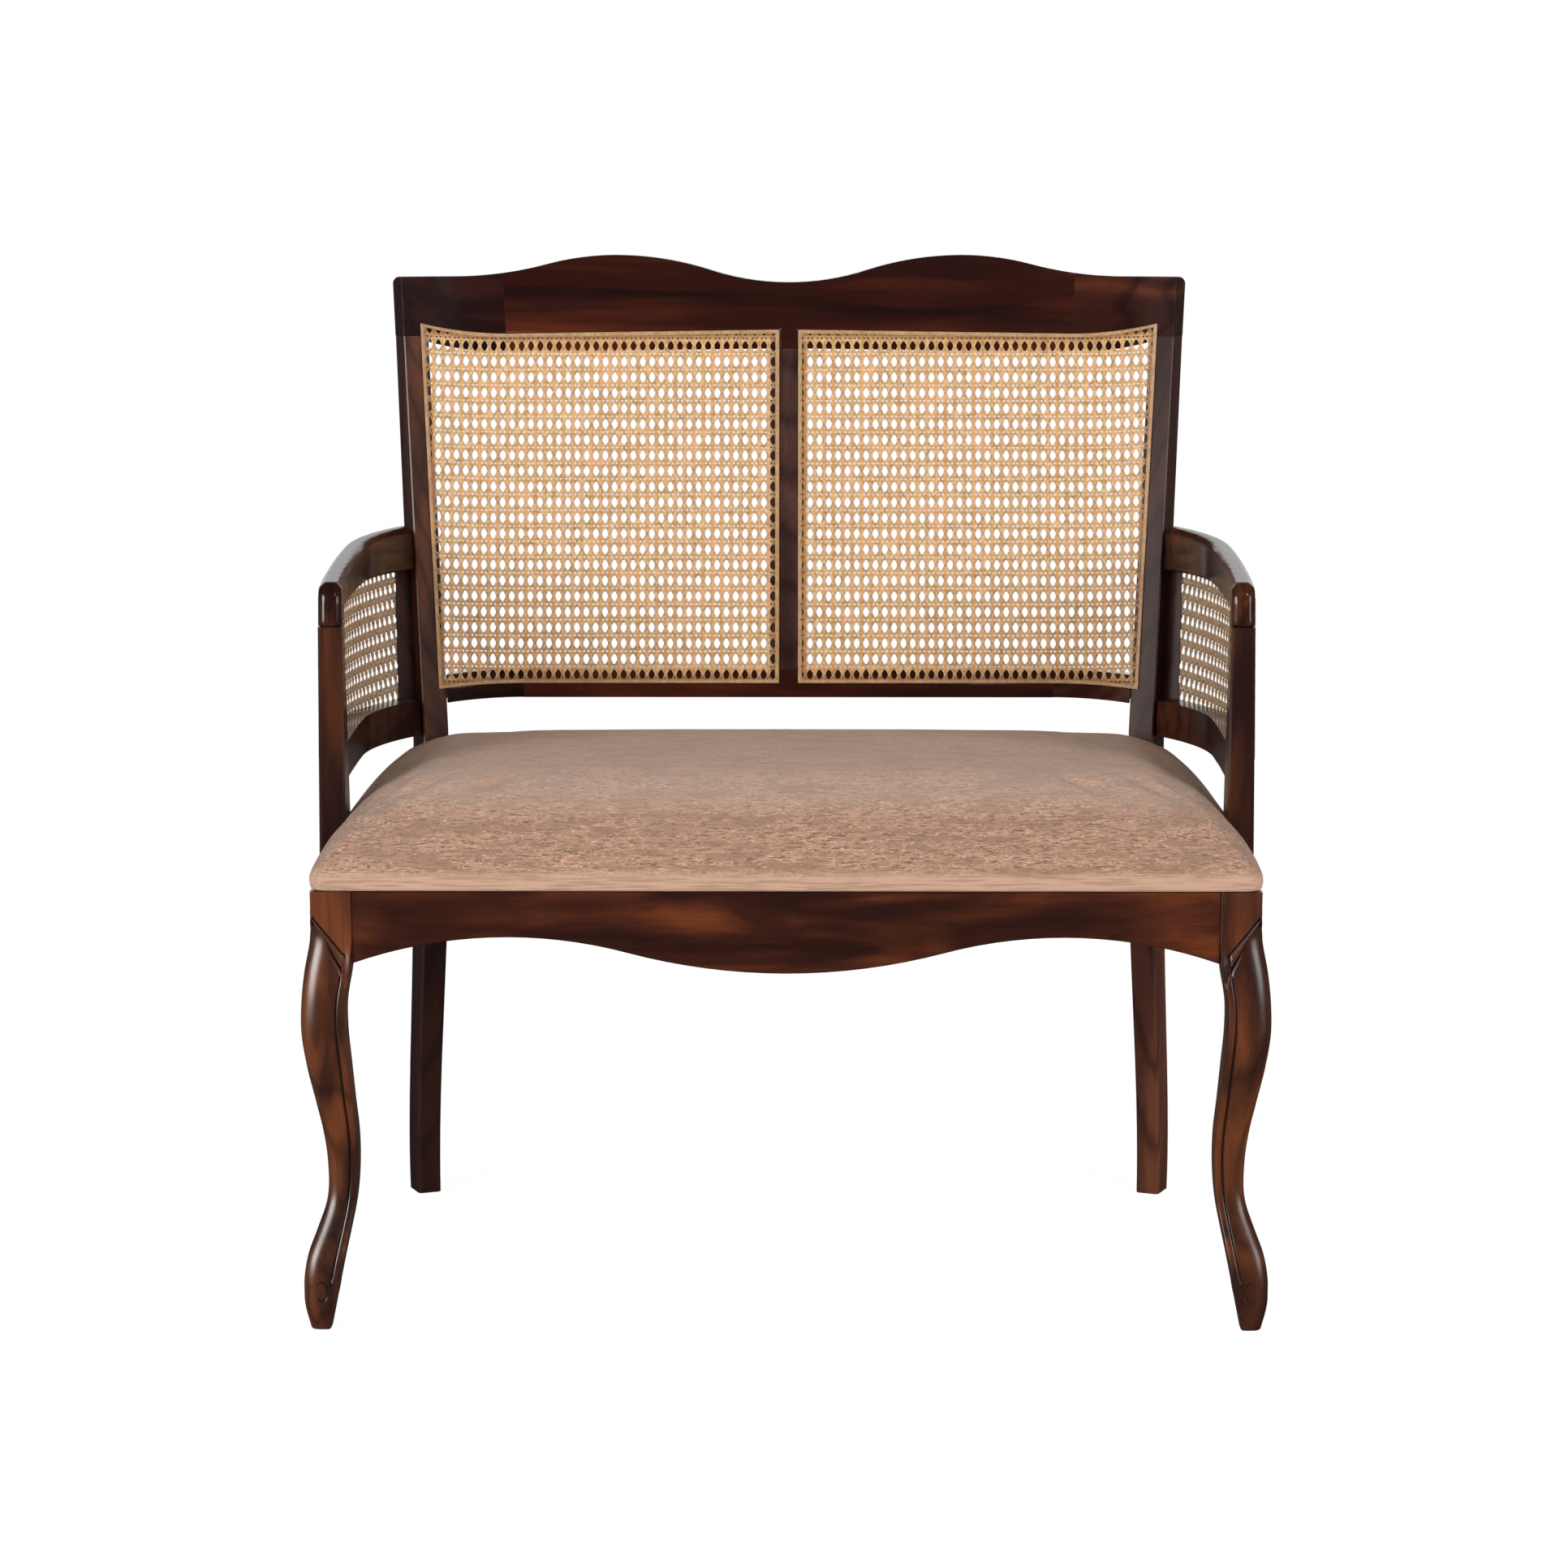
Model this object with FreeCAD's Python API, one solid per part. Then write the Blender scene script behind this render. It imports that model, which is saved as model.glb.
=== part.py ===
import FreeCAD
import Part
import math
import os

from FreeCAD import Vector

# Two-seat settee: cabriole front legs, sabre rear legs, caned back and arms, upholstered seat.
# Millimetres. X runs to the right seen from the front, Y to the back, Z up.
# Pieces are drawn with Y = 0 at the front face of the leg blocks, then moved so that the
# origin is the middle of the floor under the sofa. Left pieces are drawn, right ones mirrored.

# Joints between fixed pieces
tenon_length = 12.0
tenon_thickness = 8.0
tenon_shoulder = 5.0
tenon_clearance = 0.2
rail_tenon_length = 16.0
rail_tenon_height = 48.0
rear_tenon_length = 13.0
crest_tenon_height = 40.0
low_tenon_height = 14.0
notch_clearance = 0.6
overrun = 60.0

# Seat frame
frame_half_width = 427.0
rail_top_z = 403.0
rail_height = 60.0
rail_thickness = 24.0
apron_setback = 2.0
side_bend_y = 326.0
side_rear_inset = 47.7
rear_rail_y = 480.0
cross_rail_width = 44.0
cross_rail_height = 22.0
corner_block_leg = 82.0
corner_block_height = 44.0
corner_block_drop = 4.0
rear_block_width = 118.0

# Serpentine lower edge of the front rail
apron_mid_z = 328.0
apron_hump_z = 361.0
apron_hump_inset = 177.0
apron_end_z = 337.0
apron_turn_share = 0.57

# Cabriole front legs
block_width = 37.0
block_bottom_z = 381.0
block_corner_ease = 1.2
knee_bulge = 10.5
leg_corner_ease = 3.6
bead_radius = 2.2
bead_drop = 42.0
bead_swell_share = 0.46
# height up the leg, swell beyond the block's outer faces, width of the square section
cabriole_shares = (
    (0.000, 0.48, 0.50),
    (0.062, 1.00, 0.77),
    (0.113, 1.04, 0.88),
    (0.181, 0.66, 0.91),
    (0.239, -0.10, 0.82),
    (0.299, -0.83, 0.73),
    (0.394, -0.95, 0.775),
    (0.470, -0.64, 0.85),
    (0.541, -0.14, 0.925),
    (0.638, 0.57, 1.045),
    (0.722, 0.98, 1.095),
    (0.787, 0.95, 1.088),
    (0.864, 0.66, 1.125),
    (0.937, 0.19, 1.055),
    (1.000, 0.00, 1.00),
)

# Heights of the back, set from the dips near the ends of the crest
crest_dip_z = 938.5
crest_mid_drop = 6.0
crest_peak_rise = 21.5
shoulder_drop = 59.5
panel_mid_drop = 53.5
panel_joint_drop = 57.5
panel_end_drop = 46.5
crest_mid_z = crest_dip_z - crest_mid_drop
crest_peak_z = crest_dip_z + crest_peak_rise
stile_shoulder_z = crest_dip_z - shoulder_drop
panel_top_mid_z = crest_dip_z - panel_mid_drop
panel_top_joint_z = crest_dip_z - panel_joint_drop
panel_top_end_z = crest_dip_z - panel_end_drop

# Rear legs, each one piece with the stile of the back
stile_width = 26.0
stile_turn_deg = 23.0
stile_inset = 60.0
stile_x = frame_half_width - stile_inset
stile_y = 470.0
stile_base_z = 485.0
stile_depth = 38.0
stile_top_depth = 29.0
stile_corner_ease = 2.6
corner_fade_share = 0.55
back_lean_deg = 9.9
back_splay_deg = 3.15
rear_foot_back = 31.0
rear_foot_out = 14.0
rear_knee_forward = 3.0
# height below the back, share of the foot's backward and outward sweep, depth, width
sabre_shares = (
    (0.000, 1.00, 1.00, 0.84, 0.92),
    (0.140, 0.78, 0.96, 0.87, 0.94),
    (0.350, 0.40, 0.64, 0.91, 0.96),
    (0.560, 0.12, 0.29, 0.96, 1.00),
    (0.790, -0.06, 0.02, 1.00, 1.00),
    (1.000, 0.00, 0.00, 1.00, 1.00),
)

# Back frame: straight centre between two curved wings
wing_inset = 101.0
wing_joint_x = stile_x - wing_inset
crest_thickness = 29.0
back_rail_thickness = 22.0
center_stile_width = 38.0
crest_peak_inset = 191.0
crest_peak_x = stile_x - crest_peak_inset
crest_dip_inset = 27.0
crest_dip_x = stile_x - crest_dip_inset
crest_inner_share = 0.45
crest_outer_share = 0.43
crest_end_radius = 9.0
lower_rail_bottom_z = 516.5
lower_rail_end_drop = 4.0

# Cane panels of the back, measured to the outer edge of their splines
panel_bottom_z = 530.5
panel_bottom_end_z = 526.5
panel_mid_lap = 9.5
panel_stile_lap = 8.0
panel_top_lap = 19.0
panel_bottom_lap = 14.0
spline_width = 4.2
spline_depth = 4.0
spline_proud = 1.6
spline_clearance = 0.1
cane_thickness = 1.2
# plain openings that stand for the weave's holes, and the share of each pitch that is open
back_openings_across = 8
back_openings_in_wing = 2
back_openings_up = 5
arm_openings_along = 7
arm_openings_up = 2
opening_share = 0.55

# Arms
arm_width = 22.0
arm_front_y = 85.0
arm_inset = 24.0
arm_front_x = frame_half_width - arm_inset
arm_bow = 10.0
arm_bend_radius = 280.0
arm_meet_depth = 17.4
arm_slant_deg = 13.5
arm_front_top_z = 671.5
arm_rear_top_z = 689.5
arm_rear_y = 530.0
arm_bottom_z = 646.0
arm_nose_radius = 17.0
arm_nose_drop = 14.0
arm_edge_ease = 5.5
post_top_depth = 42.0
post_foot_depth = 47.0
post_foot_width = 25.0
post_foot_flare = 1.0
post_corner_ease = 2.0
arm_low_bottom_z = 481.0
arm_low_top_z = 516.0
upright_setback = 20.0
upright_depth = 11.0
arm_foot_depth = 20.0
arm_panel_rear = 20.5
arm_panel_end_lap = 9.0
arm_panel_lap = 10.0

# Upholstered seat
seat_overhang = 2.0
seat_front_proud = 3.0
seat_rear_inset = 4.0
seat_border_height = 18.0
seat_crown = 85.0
seat_front_corner_radius = 14.0
cover_thickness = 1.5
cover_hem = 18.0
board_inset = 5.0
board_thickness = 12.0
# inward places from the side rim to the middle, and the rise of the crown there
seat_side_shares = (
    (0.000, 0.000),
    (0.007, 0.130),
    (0.028, 0.290),
    (0.060, 0.530),
    (0.100, 0.730),
    (0.170, 0.870),
    (0.310, 0.950),
    (0.600, 0.990),
    (1.000, 1.000),
)
# places from front to rear, and the rise of the crown there
seat_depth_shares = (
    (0.000, 0.000),
    (0.005, 0.115),
    (0.024, 0.290),
    (0.075, 0.690),
    (0.170, 0.905),
    (0.330, 0.985),
    (0.480, 1.000),
    (0.640, 0.975),
    (0.800, 0.905),
    (0.930, 0.740),
    (0.980, 0.470),
    (1.000, 0.000),
)

# Screws under the seat
screw_radius = 2.2
screw_head_radius = 4.4
screw_head_height = 3.0
screw_clearance = 0.2
screw_end_gap = 1.0
screw_bite_gap = 2.0
seat_screw_share = 0.30


# Helpers for the back's leaning frame

side_run = rear_rail_y + rail_thickness - seat_rear_inset - side_bend_y
side_bend_radius = (side_run ** 2 + side_rear_inset ** 2) / (2 * side_rear_inset)
turn = math.radians(stile_turn_deg)
lean = math.tan(math.radians(back_lean_deg))
splay = math.tan(math.radians(back_splay_deg))
reach = stile_x + stile_y + overrun
inner_corner_x = stile_x - stile_width * math.cos(turn)
inner_corner_y = stile_y + stile_width * math.sin(turn)
wing_radius = (inner_corner_x - wing_joint_x) / math.sin(turn)
back_y = inner_corner_y + wing_radius * (1 - math.cos(turn))
along_stile = Vector(math.cos(turn), math.sin(turn), 0)
into_stile = Vector(-math.sin(turn), math.cos(turn), 0)


def lean_shift(z, side_splay=splay):
    """Shift of the back's plan at height z from its plan at the stile's base."""
    rise = z - stile_base_z
    return Vector(-side_splay * rise, lean * rise, rise)


def mirror(shape):
    return shape.mirror(Vector(0, 0, 0), Vector(1, 0, 0))


def largest(shape):
    return max(shape.Solids, key=lambda solid: solid.Volume)


def polygon_face(points):
    return Part.Face(Part.makePolygon(list(points) + [points[0]]))


def eased_wire(corners, ease):
    """Closed wire through the corners, each cut off at the same distance along both sides."""
    points = []
    count = len(corners)
    for index, corner in enumerate(corners):
        before = (corners[index - 1] - corner).normalize()
        after = (corners[(index + 1) % count] - corner).normalize()
        points += [corner + before * ease, corner + after * ease]
    return Part.makePolygon(points + [points[0]])


def block(center, sizes, turned=0.0, leaning=Vector(0, 0, 1)):
    """Rectangular block about a centre, turned in plan, its upright edges along a leaning line."""
    length, width, height = sizes
    along = Vector(math.cos(turned), math.sin(turned), 0)
    across = Vector(-math.sin(turned), math.cos(turned), 0)
    rise = leaning * (height / leaning.z)
    corner = center - along * (length / 2) - across * (width / 2) - rise * (1 / 2)
    face = polygon_face([
        corner,
        corner + along * length,
        corner + along * length + across * width,
        corner + across * width,
    ])
    return face.extrude(rise)


def ogee(start, end, share):
    """Two equal-turning arcs in the XZ plane, level at both ends, meeting at the share."""
    run = end.x - start.x
    rise = end.z - start.z
    half_turn = math.atan2(abs(rise), abs(run))
    meet = start + (end - start) * share
    arcs = []
    for tip, other in ((start, meet), (meet, end)):
        level = tip if tip is start else other
        chord = (other - tip).Length
        radius = chord / (2 * math.sin(half_turn))
        step = math.copysign(radius * math.sin(half_turn), run)
        lift = math.copysign(radius * (1 - math.cos(half_turn)), rise)
        if level is start:
            middle = Vector(start.x + step, start.y, start.z + lift)
        else:
            middle = Vector(end.x - step, end.y, end.z - lift)
        arcs.append(Part.Arc(tip, middle, other).toShape())
    return arcs


def through_front(wire):
    """Solid swept front to back through an outline drawn in the XZ plane."""
    face = Part.Face(wire)
    face.translate(Vector(0, -reach, 0))
    return face.extrude(Vector(0, 2 * reach, 0))


def chain(points):
    """Line segments through the points, in order."""
    return [Part.LineSegment(a, b).toShape() for a, b in zip(points, points[1:])]


def front_point(x, z):
    return Vector(x, 0, z)


def slide(point, axis, start):
    """The point moved along the axis, into the plane square to it through the start."""
    return point + axis * (start - point).dot(axis)


# Seat frame

def front_rail():
    end_x = frame_half_width - block_width
    apron_hump_x = frame_half_width - apron_hump_inset
    mid = front_point(0, apron_mid_z)
    right_hump = front_point(apron_hump_x, apron_hump_z)
    left_hump = front_point(-apron_hump_x, apron_hump_z)
    run = end_x - apron_hump_x
    drop = apron_hump_z - apron_end_z
    radius = (run * run + drop * drop) / (2 * drop)
    half_turn = math.asin(run / radius) / 2
    sag = radius * (1 - math.cos(half_turn))
    middle_x = apron_hump_x + radius * math.sin(half_turn)
    middle_z = apron_hump_z - sag
    right_end = front_point(end_x, apron_end_z)
    left_end = front_point(-end_x, apron_end_z)
    edges = [Part.Arc(left_end, front_point(-middle_x, middle_z), left_hump).toShape()]
    edges += ogee(left_hump, mid, 1 - apron_turn_share)
    edges += ogee(mid, right_hump, apron_turn_share)
    edges += [Part.Arc(right_hump, front_point(middle_x, middle_z), right_end).toShape()]
    edges += chain([right_end, front_point(end_x, rail_top_z), front_point(-end_x, rail_top_z), left_end])
    face = Part.Face(Part.Wire(edges))
    face.translate(Vector(0, apron_setback, 0))
    return face.extrude(Vector(0, rail_thickness, 0))


def stile_section(z, depth, width, back=0.0, out=0.0):
    """Corners of the left rear leg's cross section at height z."""
    corner = Vector(-stile_x - out, stile_y + back, z)
    return [
        corner,
        corner + along_stile * width,
        corner + along_stile * width + into_stile * depth,
        corner + into_stile * depth,
    ]


def stile_depth_at(z):
    share = (z - stile_base_z) / (stile_shoulder_z - stile_base_z)
    return stile_depth + (stile_top_depth - stile_depth) * share


def sabre_leg_section(row):
    height, back, out, depth, width = row
    sweep_back = rear_foot_back * back if back > 0 else rear_knee_forward * back / abs(sabre_shares[4][1])
    return stile_section(
        stile_base_z * height,
        stile_depth * depth,
        stile_width * width,
        sweep_back,
        rear_foot_out * out,
    )


def rear_leg():
    """Sabre leg and stile in one."""
    top_ease = stile_corner_ease * (1 - corner_fade_share)
    lower = []
    for row in sabre_shares:
        lower.append(eased_wire(sabre_leg_section(row), stile_corner_ease * (1 - corner_fade_share * row[0])))
    upper = []
    for z in (stile_base_z, stile_shoulder_z):
        corner = Vector(-stile_x, stile_y, 0) + lean_shift(z) + Vector(0, 0, stile_base_z)
        depth = stile_depth_at(z)
        upper.append(eased_wire([
            corner,
            corner + along_stile * stile_width,
            corner + along_stile * stile_width + into_stile * depth,
            corner + into_stile * depth,
        ], top_ease))
    leg = Part.makeLoft(lower, True, False)
    stile = Part.makeLoft(upper, True, True)
    return largest(leg.fuse(stile).removeSplitter())


def beside_stile(from_outside):
    """Everything on the inner side of the left stile's outer face, or outside its inner face."""
    base = Vector(-stile_x, stile_y, 0)
    if from_outside:
        start = base
        step = along_stile * reach
    else:
        start = base + along_stile * stile_width
        step = along_stile * -reach
    corners = [
        start - into_stile * reach,
        start - into_stile * reach + step,
        start + into_stile * reach + step,
        start + into_stile * reach,
    ]
    low = lean_shift(0)
    high = lean_shift(crest_peak_z + overrun)
    face = polygon_face([corner + low + Vector(0, 0, stile_base_z) for corner in corners])
    return face.extrude(high - low)


# Cabriole leg

def cabriole_section(row):
    height, swell, width_share = row
    z = block_bottom_z * height
    swollen = knee_bulge * swell
    width = block_width * width_share
    outer = -frame_half_width - swollen
    front = -swollen
    ease = leg_corner_ease if height < 1 else block_corner_ease
    corners = [
        Vector(outer, front, z),
        Vector(outer + width, front, z),
        Vector(outer + width, front + width, z),
        Vector(outer, front + width, z),
    ]
    return eased_wire(corners, ease)


def front_leg():
    leg = Part.makeLoft([cabriole_section(row) for row in cabriole_shares], True, True)
    corners = [
        Vector(-frame_half_width, 0, block_bottom_z),
        Vector(-frame_half_width + block_width, 0, block_bottom_z),
        Vector(-frame_half_width + block_width, block_width, block_bottom_z),
        Vector(-frame_half_width, block_width, block_bottom_z),
    ]
    block = Part.Face(eased_wire(corners, block_corner_ease))
    block = block.extrude(Vector(0, 0, rail_top_z - block_bottom_z))
    leg = leg.fuse(block).removeSplitter()
    return largest(leg.fuse(knee_bead(False)).fuse(knee_bead(True)).removeSplitter())


def knee_bead(on_side):
    """Small bead that runs down across the leg's front or outer face, below the block."""
    low_z = block_bottom_z - bead_drop
    start = Vector(-frame_half_width, 0, block_bottom_z)
    end = Vector(-frame_half_width + block_width, -knee_bulge * bead_swell_share, low_z)
    if on_side:
        start = Vector(-frame_half_width, 0, block_bottom_z)
        end = Vector(-frame_half_width - knee_bulge * bead_swell_share, block_width, low_z)
    line = end - start
    side = Vector(0, bead_radius, 0) if not on_side else Vector(bead_radius, 0, 0)
    up = line.cross(side).normalize() * bead_radius
    return polygon_face([start + side, start + up, start - side, start - up]).extrude(line)


# Back

def back_layer(front, back, low, high):
    """Left half of the back's curved surface as a leaning slab between two offsets."""
    center = Vector(-wing_joint_x, back_y - wing_radius, 0)
    base = lean_shift(low) + Vector(0, 0, stile_base_z)
    rise = lean_shift(high) - lean_shift(low)
    axis = Vector(rise).normalize()

    def edge_points(offset):
        radius = wing_radius + offset
        middle = Vector(overrun, back_y + offset, 0)
        joint = center + Vector(0, radius, 0)
        half = center + Vector(-math.sin(turn / 2), math.cos(turn / 2), 0) * radius
        corner = center + Vector(-math.sin(turn), math.cos(turn), 0) * radius
        outer = corner - along_stile * stile_width
        start = base + Vector(-stile_x, back_y, 0)
        return [slide(base + point, axis, start) for point in (middle, joint, half, corner, outer)]

    f_mid, f_joint, f_half, f_corner, f_outer = edge_points(front)
    b_mid, b_joint, b_half, b_corner, b_outer = edge_points(back)
    edges = [
        Part.LineSegment(f_mid, f_joint).toShape(),
        Part.Arc(f_joint, f_half, f_corner).toShape(),
        Part.LineSegment(f_corner, f_outer).toShape(),
        Part.LineSegment(f_outer, b_outer).toShape(),
        Part.LineSegment(b_outer, b_corner).toShape(),
        Part.Arc(b_corner, b_half, b_joint).toShape(),
        Part.LineSegment(b_joint, b_mid).toShape(),
        Part.LineSegment(b_mid, f_mid).toShape(),
    ]
    return Part.Face(Part.Wire(edges)).extrude(rise)


def middle_layer(front, back, low, high):
    """Straight leaning slab across the middle of the back."""
    corners = [
        Vector(-wing_joint_x - overrun, back_y + front, 0),
        Vector(wing_joint_x + overrun, back_y + front, 0),
        Vector(wing_joint_x + overrun, back_y + back, 0),
        Vector(-wing_joint_x - overrun, back_y + back, 0),
    ]
    face = polygon_face([corner + lean_shift(low, 0) + Vector(0, 0, stile_base_z) for corner in corners])
    return face.extrude(lean_shift(high, 0) - lean_shift(low, 0))


def joint_x(z):
    """X of the left joint between the middle and the wing at height z."""
    return -wing_joint_x - splay * (z - stile_base_z)


def stile_inner_x(z):
    return -inner_corner_x - splay * (z - stile_base_z)


def stile_front_x(z):
    return -stile_x - splay * (z - stile_base_z)


low_end = lower_rail_bottom_z - overrun
high_end = crest_peak_z + overrun
crest_bottom_mid_z = panel_top_mid_z - panel_top_lap
crest_bottom_joint_z = panel_top_joint_z - panel_top_lap
crest_bottom_end_z = panel_top_end_z - panel_top_lap
lower_rail_top_z = panel_bottom_z + panel_bottom_lap
lower_rail_end_top_z = panel_bottom_end_z + panel_bottom_lap
crest_end_x = stile_front_x(crest_dip_z) - crest_thickness * math.sin(turn)


def crest_height(x):
    """Height of the crest's top edge at x, on its ogee between peak and dip."""
    run = crest_dip_x - crest_peak_x
    rise = crest_peak_z - crest_dip_z
    half_turn = math.atan2(rise, run)
    radius_in = crest_outer_share * run / math.sin(2 * half_turn)
    radius_out = (1 - crest_outer_share) * run / math.sin(2 * half_turn)
    step = abs(x) - crest_peak_x
    if step < crest_outer_share * run:
        return crest_peak_z - radius_in + math.sqrt(radius_in ** 2 - step ** 2)
    away = run - step
    return crest_dip_z + radius_out - math.sqrt(radius_out ** 2 - away ** 2)


def solve_joint_top():
    """Height where the joint line between crest pieces meets the crest's top edge."""
    z = crest_peak_z
    for step in range(8):
        z = crest_height(joint_x(z))
    return z


joint_top_z = solve_joint_top()


def crest_top_edges():
    """Top edge of the whole crest from the left end to the right end."""
    dip_left = front_point(-crest_dip_x, crest_dip_z)
    peak_left = front_point(-crest_peak_x, crest_peak_z)
    mid = front_point(0, crest_mid_z)
    peak_right = front_point(crest_peak_x, crest_peak_z)
    dip_right = front_point(crest_dip_x, crest_dip_z)
    edges = chain([front_point(-reach, crest_dip_z), dip_left])
    edges += ogee(dip_left, peak_left, 1 - crest_outer_share)
    edges += ogee(peak_left, mid, 1 - crest_inner_share)
    edges += ogee(mid, peak_right, crest_inner_share)
    edges += ogee(peak_right, dip_right, crest_outer_share)
    edges += chain([dip_right, front_point(reach, crest_dip_z)])
    return edges


def under_crest():
    """Everything below the crest's top edge."""
    edges = crest_top_edges()
    edges += chain([
        front_point(reach, crest_dip_z),
        front_point(reach, low_end),
        front_point(-reach, low_end),
        front_point(-reach, crest_dip_z),
    ])
    return through_front(Part.Wire(edges))


def joint_region(side):
    """Front view region of the middle pieces (side 0) or of the left wing (side -1)."""
    left_low = front_point(joint_x(low_end), low_end)
    left_high = front_point(joint_x(high_end), high_end)
    if side == 0:
        right_low = front_point(-joint_x(low_end), low_end)
        right_high = front_point(-joint_x(high_end), high_end)
        corners = [left_low, right_low, right_high, left_high]
    else:
        corners = [left_low, left_high, front_point(-reach, high_end), front_point(-reach, low_end)]
    return through_front(Part.makePolygon(corners + [corners[0]]))


def wing_arc(start, end):
    """Arc in the front view that leaves its start level and rises or falls to its end."""
    run = end.x - start.x
    rise = end.z - start.z
    half_turn = math.atan2(abs(rise), abs(run))
    radius = (end - start).Length / (2 * math.sin(half_turn))
    step = math.copysign(radius * math.sin(half_turn), run)
    lift = math.copysign(radius * (1 - math.cos(half_turn)), rise)
    return Part.Arc(start, front_point(start.x + step, start.z + lift), end).toShape()


def above_crest_bottom():
    """Region above the opening's top edge: straight in the middle, curved up in the wings."""
    joint_left = front_point(joint_x(crest_bottom_joint_z), crest_bottom_joint_z)
    end_left = front_point(stile_inner_x(crest_bottom_end_z), crest_bottom_end_z)
    shoulder_in = front_point(stile_inner_x(stile_shoulder_z), stile_shoulder_z)
    mid = front_point(0, crest_bottom_mid_z)
    top = high_end
    edges = [wing_arc(joint_left, end_left)]
    edges += chain([end_left, shoulder_in, front_point(-reach, stile_shoulder_z), front_point(-reach, top)])
    edges += chain([front_point(-reach, top), front_point(0, top), mid, joint_left])
    left = Part.Face(Part.Wire(edges))
    left.translate(Vector(0, -reach, 0))
    left = left.extrude(Vector(0, 2 * reach, 0))
    return left


def crest_pieces():
    blank = under_crest()
    region = above_crest_bottom()
    wing = back_layer(0, crest_thickness, low_end, high_end).common(joint_region(-1))
    wing = wing.common(blank).common(region)
    corner_low = crest_dip_z - crest_end_radius
    corner = [
        front_point(crest_end_x + crest_end_radius, crest_dip_z),
        front_point(crest_end_x, corner_low),
        front_point(-reach, corner_low),
        front_point(-reach, high_end),
        front_point(crest_end_x + crest_end_radius, high_end),
    ]
    bevel = crest_end_radius * (1 - math.sqrt(1 / 2))
    edges = [Part.Arc(corner[0], front_point(crest_end_x + bevel, crest_dip_z - bevel), corner[1]).toShape()]
    edges += chain(corner[1:] + [corner[0]])
    wing = largest(wing.cut(through_front(Part.Wire(edges))))
    middle = middle_layer(0, crest_thickness, low_end, high_end).common(joint_region(0))
    both_sides = region.fuse(mirror(region)).removeSplitter()
    middle = largest(middle.common(blank).common(both_sides))
    return middle, wing


def lower_rail_region():
    """Front view of the left half of the lower back rail."""
    joint_low = front_point(joint_x(lower_rail_bottom_z), lower_rail_bottom_z)
    joint_high = front_point(joint_x(lower_rail_top_z), lower_rail_top_z)
    end_low_z = lower_rail_bottom_z - lower_rail_end_drop
    end_low = front_point(stile_inner_x(end_low_z), end_low_z)
    end_high = front_point(stile_inner_x(lower_rail_end_top_z), lower_rail_end_top_z)
    edges = chain([front_point(0, lower_rail_bottom_z), joint_low])
    edges += [wing_arc(joint_low, end_low)]
    edges += chain([end_low, end_high])
    edges += [wing_arc(joint_high, end_high)]
    edges += chain([joint_high, front_point(0, lower_rail_top_z), front_point(0, lower_rail_bottom_z)])
    return through_front(Part.Wire(Part.__sortEdges__(edges)))


def lower_rail_pieces():
    region = lower_rail_region()
    wing = back_layer(0, back_rail_thickness, low_end, high_end).common(joint_region(-1)).common(region)
    both_sides = region.fuse(mirror(region)).removeSplitter()
    middle = middle_layer(0, back_rail_thickness, low_end, high_end).common(joint_region(0))
    return largest(middle.common(both_sides)), largest(wing)


def center_stile():
    half = center_stile_width / 2
    slab = middle_layer(0, back_rail_thickness, low_end, high_end)
    corners = [
        front_point(-half, lower_rail_top_z),
        front_point(half, lower_rail_top_z),
        front_point(half, crest_bottom_mid_z - bottom_slope(half)),
        front_point(0, crest_bottom_mid_z),
        front_point(-half, crest_bottom_mid_z - bottom_slope(half)),
    ]
    stile = slab.common(through_front(Part.makePolygon(corners + [corners[0]])))
    return stile.fuse(tenons(0)).removeSplitter()


def bottom_slope(x):
    """Fall of the crest's lower edge between the middle and x."""
    return (crest_bottom_mid_z - crest_bottom_joint_z) * x / -joint_x(crest_bottom_joint_z)


def tenons(gap):
    """The centre stile's two tenons, or their mortises when the gap is more than zero."""
    half = center_stile_width / 2 - tenon_shoulder + gap
    front = (back_rail_thickness - tenon_thickness) / 2 - gap
    slab = middle_layer(front, front + tenon_thickness + 2 * gap, low_end, high_end)
    solids = []
    for low, high in (
        (lower_rail_top_z - tenon_length - gap, lower_rail_top_z + tenon_length),
        (crest_bottom_mid_z - tenon_length, crest_bottom_mid_z + tenon_length + gap),
    ):
        corners = [front_point(-half, low), front_point(half, low), front_point(half, high), front_point(-half, high)]
        solids.append(slab.common(through_front(Part.makePolygon(corners + [corners[0]]))))
    return solids[0].fuse(solids[1])


# Cane panels of the back

def panel_outline(inset):
    """Front view outline of the left back panel, drawn in from its spline's outer edge."""
    right_x = -panel_mid_lap - inset
    top_mid_z = panel_top_mid_z - inset
    top_joint_z = panel_top_joint_z - inset
    top_end_z = panel_top_end_z - inset
    bottom_z = panel_bottom_z + inset
    bottom_end_z = panel_bottom_end_z + inset
    side = (panel_stile_lap - inset) * math.cos(turn)

    def side_x(z):
        return stile_inner_x(z) - side

    top_joint = front_point(joint_x(top_joint_z), top_joint_z)
    top_end = front_point(side_x(top_end_z), top_end_z)
    bottom_joint = front_point(joint_x(bottom_z), bottom_z)
    bottom_end = front_point(side_x(bottom_end_z), bottom_end_z)
    edges = chain([front_point(right_x, bottom_z), front_point(right_x, top_mid_z), top_joint])
    edges += [wing_arc(top_joint, top_end)]
    edges += chain([top_end, bottom_end])
    edges += [wing_arc(bottom_joint, bottom_end)]
    edges += chain([bottom_joint, front_point(right_x, bottom_z)])
    return Part.Wire(Part.__sortEdges__(edges))


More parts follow.
